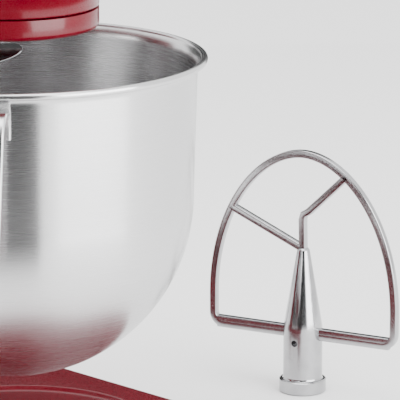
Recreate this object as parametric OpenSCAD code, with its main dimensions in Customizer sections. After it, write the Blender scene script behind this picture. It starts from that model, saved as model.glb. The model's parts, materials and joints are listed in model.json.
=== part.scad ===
// Bowl-lift stand mixer with a spiral dough hook fitted and its flat beater standing beside it.
// Millimetres, +Z up, front of the mixer at -Y. The origin is on the worktop, under the planetary axis.

/* [Bowl] */
// Outer radius of the bowl's rolled rim
bowl_rim_r = 117.5; // [98:0.5:141]
// How far the rim stands out from the wall
flare_r = 6.1; // [5:0.1:8]
// How much the wall narrows down to where the round bottom starts
bowl_taper = 2.4; // [0:0.2:6]
// Height of the bowl
bowl_h = 194.5; // [162:0.5:233]
// Thickness of the bowl's sheet
bowl_sheet = 1.4; // [1:0.1:2]
// Gap between the raised bowl and the top of the base
bowl_gap = 35; // [30:1:42]
// Width of the handle's strap at its top
handle_w = 30; // [24:1:36]
// Angle of the handle round the bowl, from +X
handle_angle = -137.5; // [-160:0.5:-110]

/* [Base] */
// Height of the base's flat top
base_h = 33.5; // [28:0.5:40]
// Width of the base
base_w = 222; // [212:1:260]
// How far the base reaches in front of the bowl's axis
base_front = 131; // [126:1:158]
// Radius of the base's front corners
base_corner_r = 78; // [60:1:90]
// Wall of the base casting
base_wall = 5; // [4:0.5:7]
// Radius of the shallow dish under the bowl
dish_r = 82; // [60:1:90]
// Depth of that dish
dish_depth = 2.5; // [1.5:0.5:4]
// Height of the rubber feet below the casting
foot_h = 3; // [2:0.5:5]

/* [Column] */
// Width of the column
column_w = 92; // [84:1:110]
// Depth of the column
column_d = 88; // [82:1:106]
// Wall of the column
column_wall = 6; // [5:0.5:8]
// Gap between the bowl's rim and the column
rim_gap = 10.5; // [9:0.5:16]

/* [Lift] */
// Travel of the bowl
lift_travel = 34; // [28:1:34]
// Swing of the lift lever over that travel
lever_swing = 80; // [70:1:90]
// Radius of the guide rods
rod_r = 5; // [4:0.5:6]
// Length of the lift lever
lever_len = 95; // [80:1:110]

/* [Head] */
// Width of the head
head_w = 128; // [126:1:150]
// Height of the head
head_h = 107.4; // [104:0.2:125]
// Wall of the head's castings
head_wall = 3.5; // [3:0.5:4.5]
// How far the head reaches in front of the planetary axis
head_front = 85; // [84:1:100]
// Gap between the bowl's rim and the planetary hub above it
hub_gap = 17.3; // [15:0.1:21]

/* [Gears] */
// Module of the gears
gear_module = 2; // [1.9:0.05:2.1]
// Teeth of the fixed ring gear
ring_teeth = 45; // [43:1:46]
// Teeth of the planet pinion
planet_teeth = 13; // [13:1:15]
// Teeth of the centre gear on the main shaft
center_teeth = 48; // [46:1:48]
// Teeth of the drive pinion that turns the centre gear
pinion_teeth = 16; // [15:1:17]
// Teeth of the worm wheel
wheel_teeth = 20; // [20:1:22]
// Teeth of each bevel gear of the power hub
bevel_teeth = 16; // [15:1:17]
// Side play between meshing teeth
backlash = 0.3; // [0.2:0.05:0.5]

/* [Shafts] */
// Radius of the main shaft
main_shaft_r = 8.5; // [7.5:0.1:9]
// Radius of the shaft that holds the tool
agitator_r = 6.35; // [6:0.05:7]
// Angle of the tool's shaft round the planetary axis at rest
agitator_angle = 140; // [0:1:359]
// Radial play of a running shaft in its bush
running_gap = 0.06; // [0.03:0.01:0.09]

/* [Power hub] */
// Radius of the power hub's bore
hub_bore_r = 17.5; // [16:0.1:18]
// Depth of that bore
hub_bore_depth = 43; // [38:1:44]

/* [Dough hook] */
// Radius of the hook's round bar
hook_bar_r = 6.5; // [5.5:0.1:7.5]
// Greatest radius of the hook's spiral
hook_r = 46; // [38:1:52]
// Radius of the climb guard over the hook
guard_r = 39; // [32:1:42]

/* [Flat beater] */
// Half the width of the flat beater
beater_half_w = 68.9; // [57:0.1:76]
// Height of the flat beater
beater_h = 163.4; // [140:0.1:190]
// Width of the beater's bars in its own plane
beater_bar = 5; // [4:0.5:7]
// Thickness of the beater's bars
beater_t = 5; // [4:0.5:7]
// Radius of the beater's socket for the tool shaft
beater_socket_r = 6.6; // [6.5:0.05:7.3]
// Where the beater stands, to the right of the bowl's axis
beater_x = 258.3; // [240:0.1:320]
// Where the beater stands, behind the bowl's axis
beater_y = 10.6; // [-40:0.1:60]
// Angle of the beater's plane from +X
beater_turn = -71.2; // [-90:0.1:0]

/* [Hidden] */
$fn = 64;
eps = 0.01;
fixed_gap = 0.02;

bowl_wall_r = bowl_rim_r - flare_r;
// Heights, from the worktop up
base_top = base_h;
base_rim_round = 8;
pad_top = base_top + 12.5;
bowl_bottom = base_top + bowl_gap;
bowl_top = bowl_bottom + bowl_h;
hub_bottom = bowl_top + hub_gap;
hub_h = 12.5;
hub_top = hub_bottom + hub_h;
collar_bottom = hub_top + 0.8;
ring_z = collar_bottom + 2.4;
ring_h = 10;
web_z = ring_z + ring_h + 1;
web_h = 6;
head_bottom = collar_bottom + 18;
head_top = head_bottom + head_h;
head_mid = (head_bottom + head_top) / 2;
seam_z = head_bottom + 22.4;
bearing_z = web_z + 2;
bearing_h = 12;
center_z = bearing_z + bearing_h + 4;
center_h = 8;

// Gear sizes
ring_r = gear_module * ring_teeth / 2;
ring_outer_r = ring_r + 4.6;
planet_r = gear_module * planet_teeth / 2;
planet_offset = ring_r - planet_r;
center_r = gear_module * center_teeth / 2;
pinion_r = gear_module * pinion_teeth / 2;
wheel_r = gear_module * wheel_teeth / 2;
bevel_r = gear_module * bevel_teeth / 2;
bevel_face = 5;
worm_starts = 2;
worm_r = 8;
worm_lead = worm_starts * PI * gear_module;
worm_l = 26;

// Plan positions
hub_r = ring_outer_r + 3.3;
collar_flare = head_w / 2 - 0.1 - hub_r;
red_x = wheel_r + worm_r;
red_y = sqrt(pow(center_r + pinion_r, 2) - red_x * red_x);
red_angle = atan2(red_y, red_x);
agitator = planet_offset * [cos(agitator_angle), sin(agitator_angle)];
column_y = bowl_rim_r + rim_gap;
column_back = column_y + column_d;
column_mid_y = (column_y + column_back) / 2;
head_split_y = column_back + 4;
head_back = head_split_y + 20;
base_back = head_back;

// Shaft heights and lengths along the head
motor_z = head_bottom + 50.4;
hub_axis_z = center_z + center_h + 8 + bevel_r;
hub_face_y = -head_front;
hub_lip_y = hub_face_y - 4;
hub_floor_y = hub_lip_y + hub_bore_depth;
hub_socket_r = hub_bore_r + 3.5;
hub_shaft_r = 9;
bell_front_y = red_y + 27;
stator_y = bell_front_y + 26;
stator_l = 48;
stator_r = 44;
armature_r = 23;
commutator_y = stator_y + stator_l + 10;
commutator_l = 16;
brush_y = commutator_y + commutator_l / 2;
bell_back_y = commutator_y + commutator_l + 14;
band_z = hub_axis_z - 5;
band_h = 10;
speed_z = motor_z - 19;
speed_x = -20;
speed_y = brush_y + 4;

// Lift mechanism
yoke_in_r = bowl_wall_r + 3.2;
yoke_out_r = yoke_in_r + 11.5;
yoke_z = bowl_bottom + 127.5;
yoke_h = 18;
pin_x = yoke_in_r + 6;
slider_z = yoke_z - 11;
slider_h = 50;
rod_x = column_w / 2 - column_wall - 12;
rod_y = column_y + column_wall + 9;
crank_r = lift_travel / 2 / sin(lever_swing / 2);
crank_pin_r = 4;
slot_play = 0.8;
shaft_r = 7;
shaft_y = rod_y + 18.5 + crank_r;
slot_z = yoke_z + 14;
shaft_z = slot_z - lift_travel / 2;
lever_x = column_w / 2 + 6;
lever_rest = 60;
web_low_z = slider_z - lift_travel - 33;
web_high_z = slider_z + slider_h + 46;

// Bowl profile: wall, then a round bottom whose radius is the wall's
round_r = bowl_wall_r - bowl_taper;
round_z = bowl_bottom + round_r;

// Flat beater: the lower bars lie at arm_z, and the outline is a pointed half ellipse above them
arm_z = 40;
arch_z = 60;

red = [0.72, 0.02, 0.07];
steel = [0.78, 0.78, 0.8];
dark = [0.12, 0.12, 0.13];
bronze = [0.72, 0.5, 0.25];
iron = [0.45, 0.46, 0.48];
copper = [0.75, 0.4, 0.2];
board = [0.2, 0.35, 0.2];

// ---- shared shapes ----

// A solid tube or rod along +Y
module rod_y(r, y0, y1, fn = 64) translate([0, y0, 0]) rotate([-90, 0, 0])
  cylinder(r = r, h = y1 - y0, $fn = fn);
// The same along +X
module rod_x(r, x0, x1, fn = 64) translate([x0, 0, 0]) rotate([0, 90, 0])
  cylinder(r = r, h = x1 - x0, $fn = fn);
// A ring about Z
module ring(r_out, r_in, z0, z1) difference() {
  translate([0, 0, z0]) cylinder(r = r_out, h = z1 - z0);
  translate([0, 0, z0 - 1]) cylinder(r = r_in, h = z1 - z0 + 2);
}
module box(lo, hi) translate(lo) cube(hi - lo);

// A centred rectangle with round corners, from squares and circles
module round_rect(w, d, r) {
  square([w - 2 * r, d], center = true);
  square([w, d - 2 * r], center = true);
  for (x = [-1, 1], y = [-1, 1]) translate([x * (w / 2 - r), y * (d / 2 - r)]) circle(r = r);
}

// Polar angle of an involute of base radius rb where it reaches radius r
function involute(rb, r) = sqrt(max(pow(r / rb, 2) - 1, 0)) * 180 / PI - acos(min(rb / r, 1));
// Half the angle that a tooth takes at radius r
function half_tooth(n, rp, rb, r, play) =
  90 / n - play / 2 / rp * 180 / PI + involute(rb, rp) - involute(rb, max(r, rb));
// Outline of a spur gear with a tooth at angle 0
function gear_points(n, m, play, up, down) =
  let (rp = m * n / 2, rb = rp * cos(20), tip = rp + up, root = rp - down, low = max(rb, root),
       radii = [root, for (k = [0:3]) low + (tip - low) * k / 3])
  [for (i = [0:n - 1], side = [-1, 1], k = [0:4])
    let (r = radii[side < 0 ? k : 4 - k], a = 360 * i / n + side * half_tooth(n, rp, rb, r, play))
    [r * cos(a), r * sin(a)]];
module gear_2d(n, play = backlash, up = 0.9 * gear_module, down = 1.2 * gear_module)
  polygon(gear_points(n, gear_module, play, up, down));

function unit(v) = v / norm(v);
// A closed mesh through equal rings of points, with a flat cap at each end
module skin(rings) {
  n = len(rings);
  k = len(rings[0]);
  polyhedron(points = [for (r = rings) each r], faces = concat(
    [[for (j = [0:k - 1]) j]], [[for (j = [k - 1:-1:0]) (n - 1) * k + j]],
    [for (i = [0:n - 2], j = [0:k - 1]) let (a = i * k + j, b = i * k + (j + 1) % k)
      each [[a, b + k, b], [a, a + k, b + k]]]));
}
// A round tube through points; side is a direction that the path never takes
module tube(points, r, sides, side) {
  n = len(points);
  skin([for (i = [0:n - 1])
    let (t = unit(points[min(i + 1, n - 1)] - points[max(i - 1, 0)]))
    let (u = unit(cross(t, side)), v = cross(t, u))
    [for (k = [0:sides - 1]) points[i] + r * (cos(360 * k / sides) * u + sin(360 * k / sides) * v)]]);
}

// ---- head ----

// The head is lofted through slices that shrink towards a rounded nose and a rounded back.
// A slice is [place, end]: place runs from 0 at full size to 1 at the tip, end is -1 in front and 1 behind.
nose_l = 60;
tail_l = 50;
head_slices = concat([for (t = [0.985, 0.94, 0.86, 0.74, 0.58, 0.4, 0.2, 0]) [t, -1]],
  [for (t = [0, 0.25, 0.5, 0.66, 0.8, 0.9, 0.96, 0.985]) [t, 1]]);
function signed_pow(x, p) = sign(x) * pow(abs(x), p);
function slice_y(t, end, inset) = end < 0 ? nose_l - head_front - (nose_l - inset) * t
  : head_back - tail_l + (tail_l - inset) * t;
function head_ring(t, end, inset, n = 44) =
  let (s = pow(1 - pow(t, 2.4), 1 / 2.4), mid = head_mid + (end < 0 ? (hub_axis_z - head_mid) * t : 0))
  [for (i = [0:n - 1]) let (a = 360 * i / n, p = a < 180 ? 2.3 : 3.2)
    [(head_w / 2 * s - inset) * signed_pow(cos(a), 2 / p), slice_y(t, end, inset),
     mid + (head_h / 2 * s - inset) * signed_pow(sin(a), 2 / p)]];
// The whole head, drawn in by inset
module head_body(inset = 0) skin([for (i = [len(head_slices) - 1:-1:0])
  head_ring(head_slices[i][0], head_slices[i][1], inset)]);

module column_outline(inset = 0) translate([0, column_mid_y])
  round_rect(column_w - 2 * inset, column_d - 2 * inset, 16 - inset);

// ---- stand ----

module base_disc(r, x, y) translate([x, y, 0]) rotate_extrude($fn = 72) {
  square_top = base_top - base_rim_round;
  translate([0, foot_h]) square([r, square_top - foot_h]);
  translate([0, square_top]) square([r - base_rim_round, base_rim_round]);
  intersection() {
    translate([r - base_rim_round, square_top]) circle(r = base_rim_round, $fn = 40);
    translate([r - base_rim_round, square_top]) square(base_rim_round);
  }
}
rear_corner_r = 46;
function base_corners(inset) = [for (s = [-1, 1]) each [
  [base_corner_r - inset, s * (base_w / 2 - base_corner_r), base_corner_r - base_front],
  [rear_corner_r - inset, s * (base_w / 2 - 7 - rear_corner_r), base_back - rear_corner_r]]];
foot_places = [[-80, 62 - base_front], [80, 62 - base_front], [-74, base_back - 42], [74, base_back - 42],
  [0, 0]];
bolt_places = [for (x = [-1, 1], y = [-1, 1])
  [x * (column_w / 2 - 16), column_mid_y + y * (column_d / 2 - 16)]];

module base_casting() color(red) difference() {
  union() {
    difference() {
      hull() for (c = base_corners(0)) base_disc(c[0], c[1], c[2]);
      translate([0, 0, foot_h - 1]) linear_extrude(height = base_top - dish_depth - base_wall - foot_h + 1)
        hull() for (c = base_corners(base_wall)) translate([c[1], c[2]]) circle(r = c[0], $fn = 72);
    }
    // the raised foot of the column
    hull() {
      translate([0, 0, base_top - 1]) linear_extrude(height = 1) translate([0, column_mid_y])
        round_rect(column_w + 44, column_d + 30, 34);
      translate([0, 0, pad_top - 1]) linear_extrude(height = 1) translate([0, column_mid_y])
        round_rect(column_w + 8, column_d + 8, 20);
    }
    for (p = foot_places) translate([p[0], p[1], foot_h + 5])
      cylinder(r = 16, h = base_top - foot_h - dish_depth - 5 - base_wall + 1);
    for (p = bolt_places) translate([p[0], p[1], base_top - 14]) cylinder(r = 10, h = 12);
  }
  translate([0, 0, base_top - dish_depth]) cylinder(r1 = dish_r - 3, r2 = dish_r, h = dish_depth);
  translate([0, 0, base_top]) cylinder(r = dish_r, h = 1);
  for (p = foot_places) translate([p[0], p[1], foot_h]) cylinder(r = 3.1, h = 14);
  for (p = bolt_places) translate([p[0], p[1], base_top - 20]) cylinder(r = 4.2, h = 60);
}

module rubber_feet() color(dark) for (p = foot_places) translate([p[0], p[1], 0]) {
  rotate_extrude() polygon([[0, 0], [12, 0], [14, 2], [14, foot_h + 5], [0, foot_h + 5]]);
  translate([0, 0, foot_h + 4]) cylinder(r = 3, h = 9);
}

neck_floor = 10;
// Four bolts rise from the base into the column's floor, and four drop from the neck into its top plate
module column_bolts() color(steel) for (p = bolt_places) translate([p[0], p[1], 0]) {
  translate([0, 0, base_top - 20]) cylinder(r = 7, h = 6, $fn = 6);
  translate([0, 0, base_top - 15]) cylinder(r = 4, h = pad_top + 10 - base_top + 15);
  translate([0, 0, neck_z + neck_floor]) cylinder(r = 7, h = 5, $fn = 6);
  translate([0, 0, neck_z - 10]) cylinder(r = 4, h = neck_floor + 11);
}

neck_z = head_bottom - 8;
slot_w = 36;
module column() color(red) difference() {
  translate([0, 0, pad_top]) linear_extrude(height = neck_z - pad_top) difference() {
    column_outline();
    column_outline(column_wall);
  }
  // slot for the slider's neck, and the bores of the lift shaft and the cord
  box([-slot_w / 2, column_y - 1, slider_z - lift_travel - 4], [slot_w / 2, column_y + column_wall + 1,
    slider_z + slider_h + 6]);
  translate([0, shaft_y, shaft_z]) rod_x(shaft_r + 3, -column_w, column_w);
  translate([0, 0, neck_z - 22]) rod_y(7, column_back - column_wall - 1, column_back + 1);
}
// The column's inner webs hold the rods, and the bolts end in its floor
module column_webs() color(red) difference() {
  union() {
    for (z = [web_low_z, web_high_z]) translate([0, 0, z]) linear_extrude(height = 8) intersection() {
      column_outline(column_wall - eps);
      translate([-column_w, column_y]) square([2 * column_w, 28]);
    }
    for (z = [pad_top, neck_z - 10]) translate([0, 0, z]) linear_extrude(height = 10)
      column_outline(column_wall - eps);
  }
  translate([0, column_mid_y, neck_z - 11]) cylinder(r = 12, h = 12);
  for (x = [-rod_x, rod_x]) translate([x, rod_y, web_low_z + 2])
    cylinder(r = rod_r + fixed_gap, h = web_high_z - web_low_z + 10);
  for (p = bolt_places, z = [pad_top, neck_z - 10]) translate([p[0], p[1], z - 1])
    cylinder(r = 4 + fixed_gap, h = 12);
}

module lift_guide_rods() color(steel) for (x = [-rod_x, rod_x])
  translate([x, rod_y, web_low_z + 2]) cylinder(r = rod_r, h = web_high_z - web_low_z + 4);

module lift_shaft_bushes() color(bronze) for (s = [-1, 1]) translate([0, shaft_y, shaft_z]) difference() {
  union() {
    rod_x(shaft_r + 3 - fixed_gap, s > 0 ? column_w / 2 - column_wall : -column_w / 2,
      s > 0 ? column_w / 2 : column_wall - column_w / 2);
    rod_x(shaft_r + 5, s > 0 ? column_w / 2 : -column_w / 2 - 2, s > 0 ? column_w / 2 + 2 : -column_w / 2);
  }
  rod_x(shaft_r + running_gap, -column_w, column_w);
}

// The collar's outer profile: a quarter ellipse flares it into the head
collar_rise = head_bottom - collar_bottom;
function collar_points() = [for (i = [0:12]) let (a = 90 * i / 12)
  [hub_r + collar_flare * (1 - cos(a)), collar_bottom + collar_rise * sin(a)]];
reach = head_w;
module gearcase() color(red) difference() {
  union() {
    difference() {
      union() {
        intersection() {
          head_body();
          box([-reach, -reach, head_bottom - 5], [reach, head_split_y, seam_z]);
        }
        rotate_extrude($fn = 96) polygon(concat([[0, collar_bottom]], collar_points(),
          [[head_w / 2 - 0.1, seam_z], [0, seam_z]]));
        translate([0, 0, neck_z]) linear_extrude(height = seam_z - neck_z) column_outline();
      }
      intersection() {
        head_body(head_wall);
        box([-reach, -reach, web_z + web_h], [reach, head_split_y + 1, seam_z + 1]);
      }
      translate([0, 0, web_z + web_h]) cylinder(r = head_w / 2 - head_wall, h = seam_z - web_z - web_h + 1);
      translate([0, 0, neck_z + neck_floor]) linear_extrude(height = seam_z) column_outline(column_wall);
    }
    translate([0, 0, web_z]) cylinder(r = 26, h = bearing_z + bearing_h - web_z);
    translate([red_x, red_y, web_z + 6]) cylinder(r = 12, h = 10);
    for (p = bracket_posts) translate([p[0], p[1], web_z + 3]) cylinder(r = 6, h = 8);
    for (p = screw_places) translate([p[0], p[1], seam_z - p[2]]) cylinder(r = 5.5, h = p[2]);
    for (x = [-43.5, 43.5], y = [speed_y - 11, speed_y + 12]) translate([x, y, head_bottom + 7.5])
      cylinder(r = 3, h = speed_z - 14 - head_bottom - 7.5);
  }
  translate([0, 0, collar_bottom - 1]) cylinder(r = ring_outer_r + fixed_gap, h = web_z - collar_bottom + 1);
  translate([0, 0, bearing_z]) cylinder(r = 20 + fixed_gap, h = bearing_h + 1);
  translate([0, 0, web_z - 1]) cylinder(r = 15, h = 10);
  translate([red_x, red_y, web_z + 12]) cylinder(r = 9 + fixed_gap, h = 20);
  for (p = bracket_posts) translate([p[0], p[1], web_z + 6]) cylinder(r = 4 + fixed_gap, h = 12);
  for (p = screw_places) translate([p[0], p[1], 0]) {
    translate([0, 0, head_bottom - 20]) cylinder(r = 2.2, h = 60);
    translate([0, 0, head_bottom - 20]) cylinder(r = 4.4, h = seam_z - p[2] - head_bottom + 20);
  }
  for (p = bolt_places) translate([p[0], p[1], neck_z - 1]) cylinder(r = 4.2, h = neck_floor + 2);
  translate([0, 0, motor_z - 38]) rod_y(2.5, column_back - column_wall - 1, head_split_y + 0.5);
  translate([0, column_mid_y, neck_z - 1]) cylinder(r = 12, h = neck_floor + 2);
}
// Screws that join the two halves of the head: [x, y, height of the lower boss]
screw_x = head_w / 2 - 13;
screw_places = [for (s = [-1, 1])
  each [[s * (screw_x + 2), -24, 12], [s * screw_x, 92, 6], [s * screw_x, head_split_y - 12, 6]]];

module motor_housing() color(red) difference() {
  union() {
    difference() {
      intersection() {
        head_body();
        box([-reach, -reach, seam_z], [reach, head_split_y, head_top + 5]);
      }
      intersection() {
        head_body(head_wall);
        box([-reach, -reach, seam_z - 1], [reach, head_split_y + 1, head_top + 5]);
      }
    }
    for (p = screw_places) translate([p[0], p[1], seam_z]) cylinder(r = 5, h = 12);
    intersection() {
      head_body(1);
      for (p = screw_places) translate([p[0] < 0 ? -head_w / 2 : p[0], p[1] - 2, seam_z])
        cube([head_w / 2 - abs(p[0]), 4, 12]);
    }
  }
  translate([0, 0, hub_axis_z]) rod_y(hub_socket_r + fixed_gap, hub_face_y - 2, hub_face_y + 30);
  translate([0, screw_y, hub_axis_z]) rod_x(3.6, -head_w, 0);
  // pocket and slot of the speed control
  box([-head_w, plate_y0, plate_z0], [3 - head_w / 2, plate_y1, plate_z1]);
  box([-head_w, plate_y0 + 4, speed_z - 4], [8 - head_w / 2, plate_y1 - 4, speed_z + 4]);
  for (s = [-1, 1]) translate([0, brush_y, motor_z])
    rod_x(8 + fixed_gap, s > 0 ? 40 : -head_w, s > 0 ? head_w : -40);
  for (p = screw_places) translate([p[0], p[1], seam_z - 1]) cylinder(r = 2, h = 9);
}

plate_y0 = speed_y - 27;
plate_y1 = speed_y + 27;
plate_z0 = speed_z - 7;
plate_z1 = speed_z + 7;
module control_plate() color(steel) difference() {
  box([-head_w / 2 - 1.2, plate_y0 + 0.1, plate_z0 + 0.1], [3 - head_w / 2, plate_y1 - 0.1, plate_z1 - 0.1]);
  box([-head_w, plate_y0 + 4, speed_z - 2.6], [0, plate_y1 - 4, speed_z + 2.6]);
}

module end_cover() color(red) difference() {
  intersection() {
    head_body();
    box([-reach, head_split_y, head_bottom - 5], [reach, head_back + 5, head_top + 5]);
  }
  intersection() {
    head_body(head_wall);
    box([-reach, head_split_y - 1, head_bottom - 5], [reach, head_back - head_wall - 4, head_top + 5]);
  }
  for (i = [-3:3]) translate([0, 0, motor_z + i * 9])
    box([-26, head_split_y + 3, -2], [26, head_back + 2, 2]);
  for (s = [-1, 1]) translate([0, 0, motor_z + s * 38]) rod_y(2.2, head_split_y, head_back + 5);
}

module housing_screws() color(steel) {
  for (p = screw_places) translate([p[0], p[1], seam_z - p[2]]) {
    translate([0, 0, -2]) cylinder(r = 4.2, h = 2);
    translate([0, 0, -1]) cylinder(r = 1.95, h = p[2] + 8);
  }
  for (s = [-1, 1]) translate([0, 0, motor_z + s * 38]) difference() {
    union() {
      rod_y(4, head_back - 4.5, head_back - 1.9);
      rod_y(2.1, bell_back_y + 1, head_back - 4);
    }
    box([-3, head_back - 3, -0.6], [3, head_back, 0.6]);
  }
}

module trim_band() color(steel) difference() {
  intersection() {
    head_body(-1);
    box([-reach, -reach, band_z], [reach, head_split_y - 0.5, band_z + band_h]);
  }
  head_body(-0.02);
  translate([0, 0, hub_axis_z]) rod_y(hub_socket_r + 7, hub_face_y - 5, hub_face_y + 30);
  box([-reach, screw_y - 10, band_z - 1], [0, screw_y + 10, band_z + band_h + 1]);
  translate([0, brush_y, motor_z]) rod_x(8 + fixed_gap, -head_w, head_w);
}

module ring_gear() color(iron) translate([0, 0, ring_z]) linear_extrude(height = ring_h) difference() {
  circle(r = ring_outer_r);
  rotate(agitator_angle) gear_2d(ring_teeth, -backlash, 1.2 * gear_module, 0.75 * gear_module);
}

module main_bearing() color(steel) translate([0, 0, bearing_z]) {
  ring(20, 17, 0, bearing_h);
  ring(12, main_shaft_r + running_gap, 0, bearing_h);
  ring(17 + eps, 12 - eps, 3, bearing_h - 3);
}

bracket_z = motor_z + 16;
bracket_posts = [[-37, 41], [47, 29]];
thrust_y = red_y - 30;
module gear_bracket() color(iron) difference() {
  union() {
    box([-46, thrust_y - 5, bracket_z], [56, red_y + 15, bracket_z + 4]);
    for (p = bracket_posts) translate([p[0], p[1], web_z + 6]) cylinder(r = 4, h = bracket_z - web_z - 5);
    translate([red_x, red_y, bracket_z - 6]) cylinder(r = 12, h = 7);
    box([-14, thrust_y - 4, motor_z - 13], [14, thrust_y + 4, bracket_z + 1]);
  }
  translate([red_x, red_y, bracket_z - 7]) cylinder(r = 9 + fixed_gap, h = 12);
  translate([0, 0, motor_z]) rod_y(10 + fixed_gap, thrust_y - 5, thrust_y + 5);
}

module gear_bushes() color(bronze) {
  translate([red_x, red_y, 0]) {
    ring(9, 6 + running_gap, web_z + 12, web_z + 16);
    ring(9, 6 + running_gap, bracket_z - 6, bracket_z + 4);
  }
  translate([0, 0, hub_axis_z]) difference() {
    rod_y(12, hub_floor_y, -bevel_r - 4);
    rod_y(hub_shaft_r + running_gap, hub_floor_y - 1, -bevel_r - 3);
  }
}

module motor_bearings() color(steel) translate([0, 0, motor_z]) {
  for (b = [[thrust_y - 4, 10], [bell_front_y, 14], [bell_back_y, 11]]) difference() {
    rod_y(b[1], b[0], b[0] + 8);
    rod_y(5 + running_gap, b[0] - 1, b[0] + 9);
  }
}

module motor_end_bells() color(iron) translate([0, 0, motor_z]) difference() {
  union() {
    rod_y(stator_r + 1, bell_front_y, bell_front_y + 6);
    rod_y(stator_r + 1, bell_back_y, bell_back_y + 6);
    for (a = [45:90:315]) rotate([0, a, 0]) translate([stator_r - 5, 0, 0])
      rod_y(2.5, bell_front_y + 1, bell_back_y + 5, 24);
    // ears that reach the wall of the head
    intersection() {
      translate([0, 0, -motor_z]) head_body(head_wall + fixed_gap);
      for (y = [bell_front_y, bell_back_y]) box([-head_w, y, -7], [head_w, y + 6, 7]);
    }
  }
  for (s = [-1, 1]) translate([0, 0, s * 38]) rod_y(2.1 + fixed_gap, bell_back_y - 1, bell_back_y + 7);
  rod_y(14 + fixed_gap, bell_front_y - 1, bell_front_y + 7);
  rod_y(11 + fixed_gap, bell_back_y - 1, bell_back_y + 7);
  for (y = [bell_front_y, bell_back_y], a = [0:60:300]) rotate([0, a, 0])
    translate([26, 0, 0]) rod_y(7, y - 1, y + 7);
}

module motor_stator() color(iron) translate([0, 0, motor_z]) difference() {
  rod_y(stator_r, stator_y, stator_y + stator_l);
  rod_y(armature_r + 1, stator_y - 1, stator_y + stator_l + 1);
  intersection() {
    rod_y(stator_r - 9, stator_y - 1, stator_y + stator_l + 1);
    for (s = [-1, 1]) box([-stator_r, stator_y - 2, s > 0 ? 8 : -24],
      [stator_r, stator_y + stator_l + 2, s > 0 ? 24 : -8]);
  }
  for (a = [45:90:315]) rotate([0, a, 0]) translate([stator_r - 5, 0, 0])
    rod_y(2.6, stator_y - 1, stator_y + stator_l + 1, 24);
}

module field_coils() color(copper) translate([0, 0, motor_z]) for (s = [-1, 1]) difference() {
  intersection() {
    rod_y(stator_r - 10, stator_y - 6, stator_y + stator_l + 6);
    box([s > 0 ? 0 : -stator_r, stator_y - 7, -23], [s > 0 ? stator_r : 0, stator_y + stator_l + 7, 23]);
  }
  rod_y(armature_r + 2, stator_y - 8, stator_y + stator_l + 8);
  box([-stator_r, stator_y - 0.2, -9], [stator_r, stator_y + stator_l + 0.2, 9]);
  box([-12, stator_y - 8, -30], [12, stator_y + stator_l + 8, 30]);
}

commutator_r = 15;
module brush_holders() color(bronze) translate([0, brush_y, motor_z]) for (s = [-1, 1]) {
  rod_x(6, s > 0 ? commutator_r + 2.5 : 4 - head_w / 2, s > 0 ? head_w / 2 - 4 : -commutator_r - 2.5);
  rod_x(4, s > 0 ? commutator_r + 0.5 : -commutator_r - 3, s > 0 ? commutator_r + 3 : -commutator_r - 0.5);
}

module brush_caps() color(dark) translate([0, brush_y, motor_z])
  for (s = [-1, 1]) mirror([s < 0 ? 1 : 0, 0, 0])
  difference() {
    union() {
      rod_x(8, head_w / 2 - 4, head_w / 2 + 1.5);
      rod_x(6.5, head_w / 2, head_w / 2 + 2.2);
    }
    box([head_w / 2 + 0.8, -5, -0.9], [head_w / 2 + 3, 5, 0.9]);
  }

screw_y = hub_lip_y + 26;
module hub_socket() color(steel) translate([0, 0, hub_axis_z]) difference() {
  union() {
    rod_y(hub_socket_r, hub_lip_y, -bevel_r - 6, 96);
    rod_y(hub_socket_r + 5, hub_lip_y, hub_face_y, 96);
    for (s = [-1, 1]) translate([s * 9 - 3, hub_lip_y, hub_socket_r + 2])
      cube([6, 4, hinge_up - hub_socket_r - 2]);
    for (s = [-1, 1]) translate([0, hinge_y, hinge_up]) rod_x(3.4, s * 9 - 3, s * 9 + 3, 32);
  }
  rod_y(hub_bore_r, hub_lip_y - 10, hub_floor_y, 96);
  rod_y(12 + fixed_gap, hub_floor_y - 1, 0);
  translate([0, screw_y, 0]) rod_x(3 + running_gap, -hub_socket_r - 1, 0);
  translate([0, hinge_y, hinge_up]) rod_x(1.5 + fixed_gap, -20, 20, 32);
}
hinge_up = hub_socket_r + 9;
hinge_y = hub_lip_y + 1.6;
module hub_cap_pin() color(steel) translate([0, hinge_y, hub_axis_z + hinge_up]) rod_x(1.5, -12.5, 12.5, 32);

module speed_control_board() color(board) {
  box([-47, speed_y - 16, speed_z - 14], [47, speed_y + 17, speed_z - 12]);
  translate([speed_x, speed_y, speed_z - 13]) cylinder(r = 3, h = 18);
  translate([speed_x, speed_y, speed_z - 12.5]) cylinder(r = 4.5, h = 10.4);
  for (x = [-40, -6]) box([x - 4, speed_y + 6, speed_z - 12.5], [x + 6, speed_y + 16, speed_z - 5]);
}

module cord_gland() color(dark) translate([0, 0, neck_z - 22]) difference() {
  union() {
    rod_y(7 - fixed_gap, column_back - column_wall, column_back);
    rod_y(10, column_back, column_back + 3);
    rod_y(9, column_back - column_wall - 2, column_back - column_wall);
  }
  rod_y(4, column_back - 20, column_back + 10);
}

// ---- lift yoke, bowl ----

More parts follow.
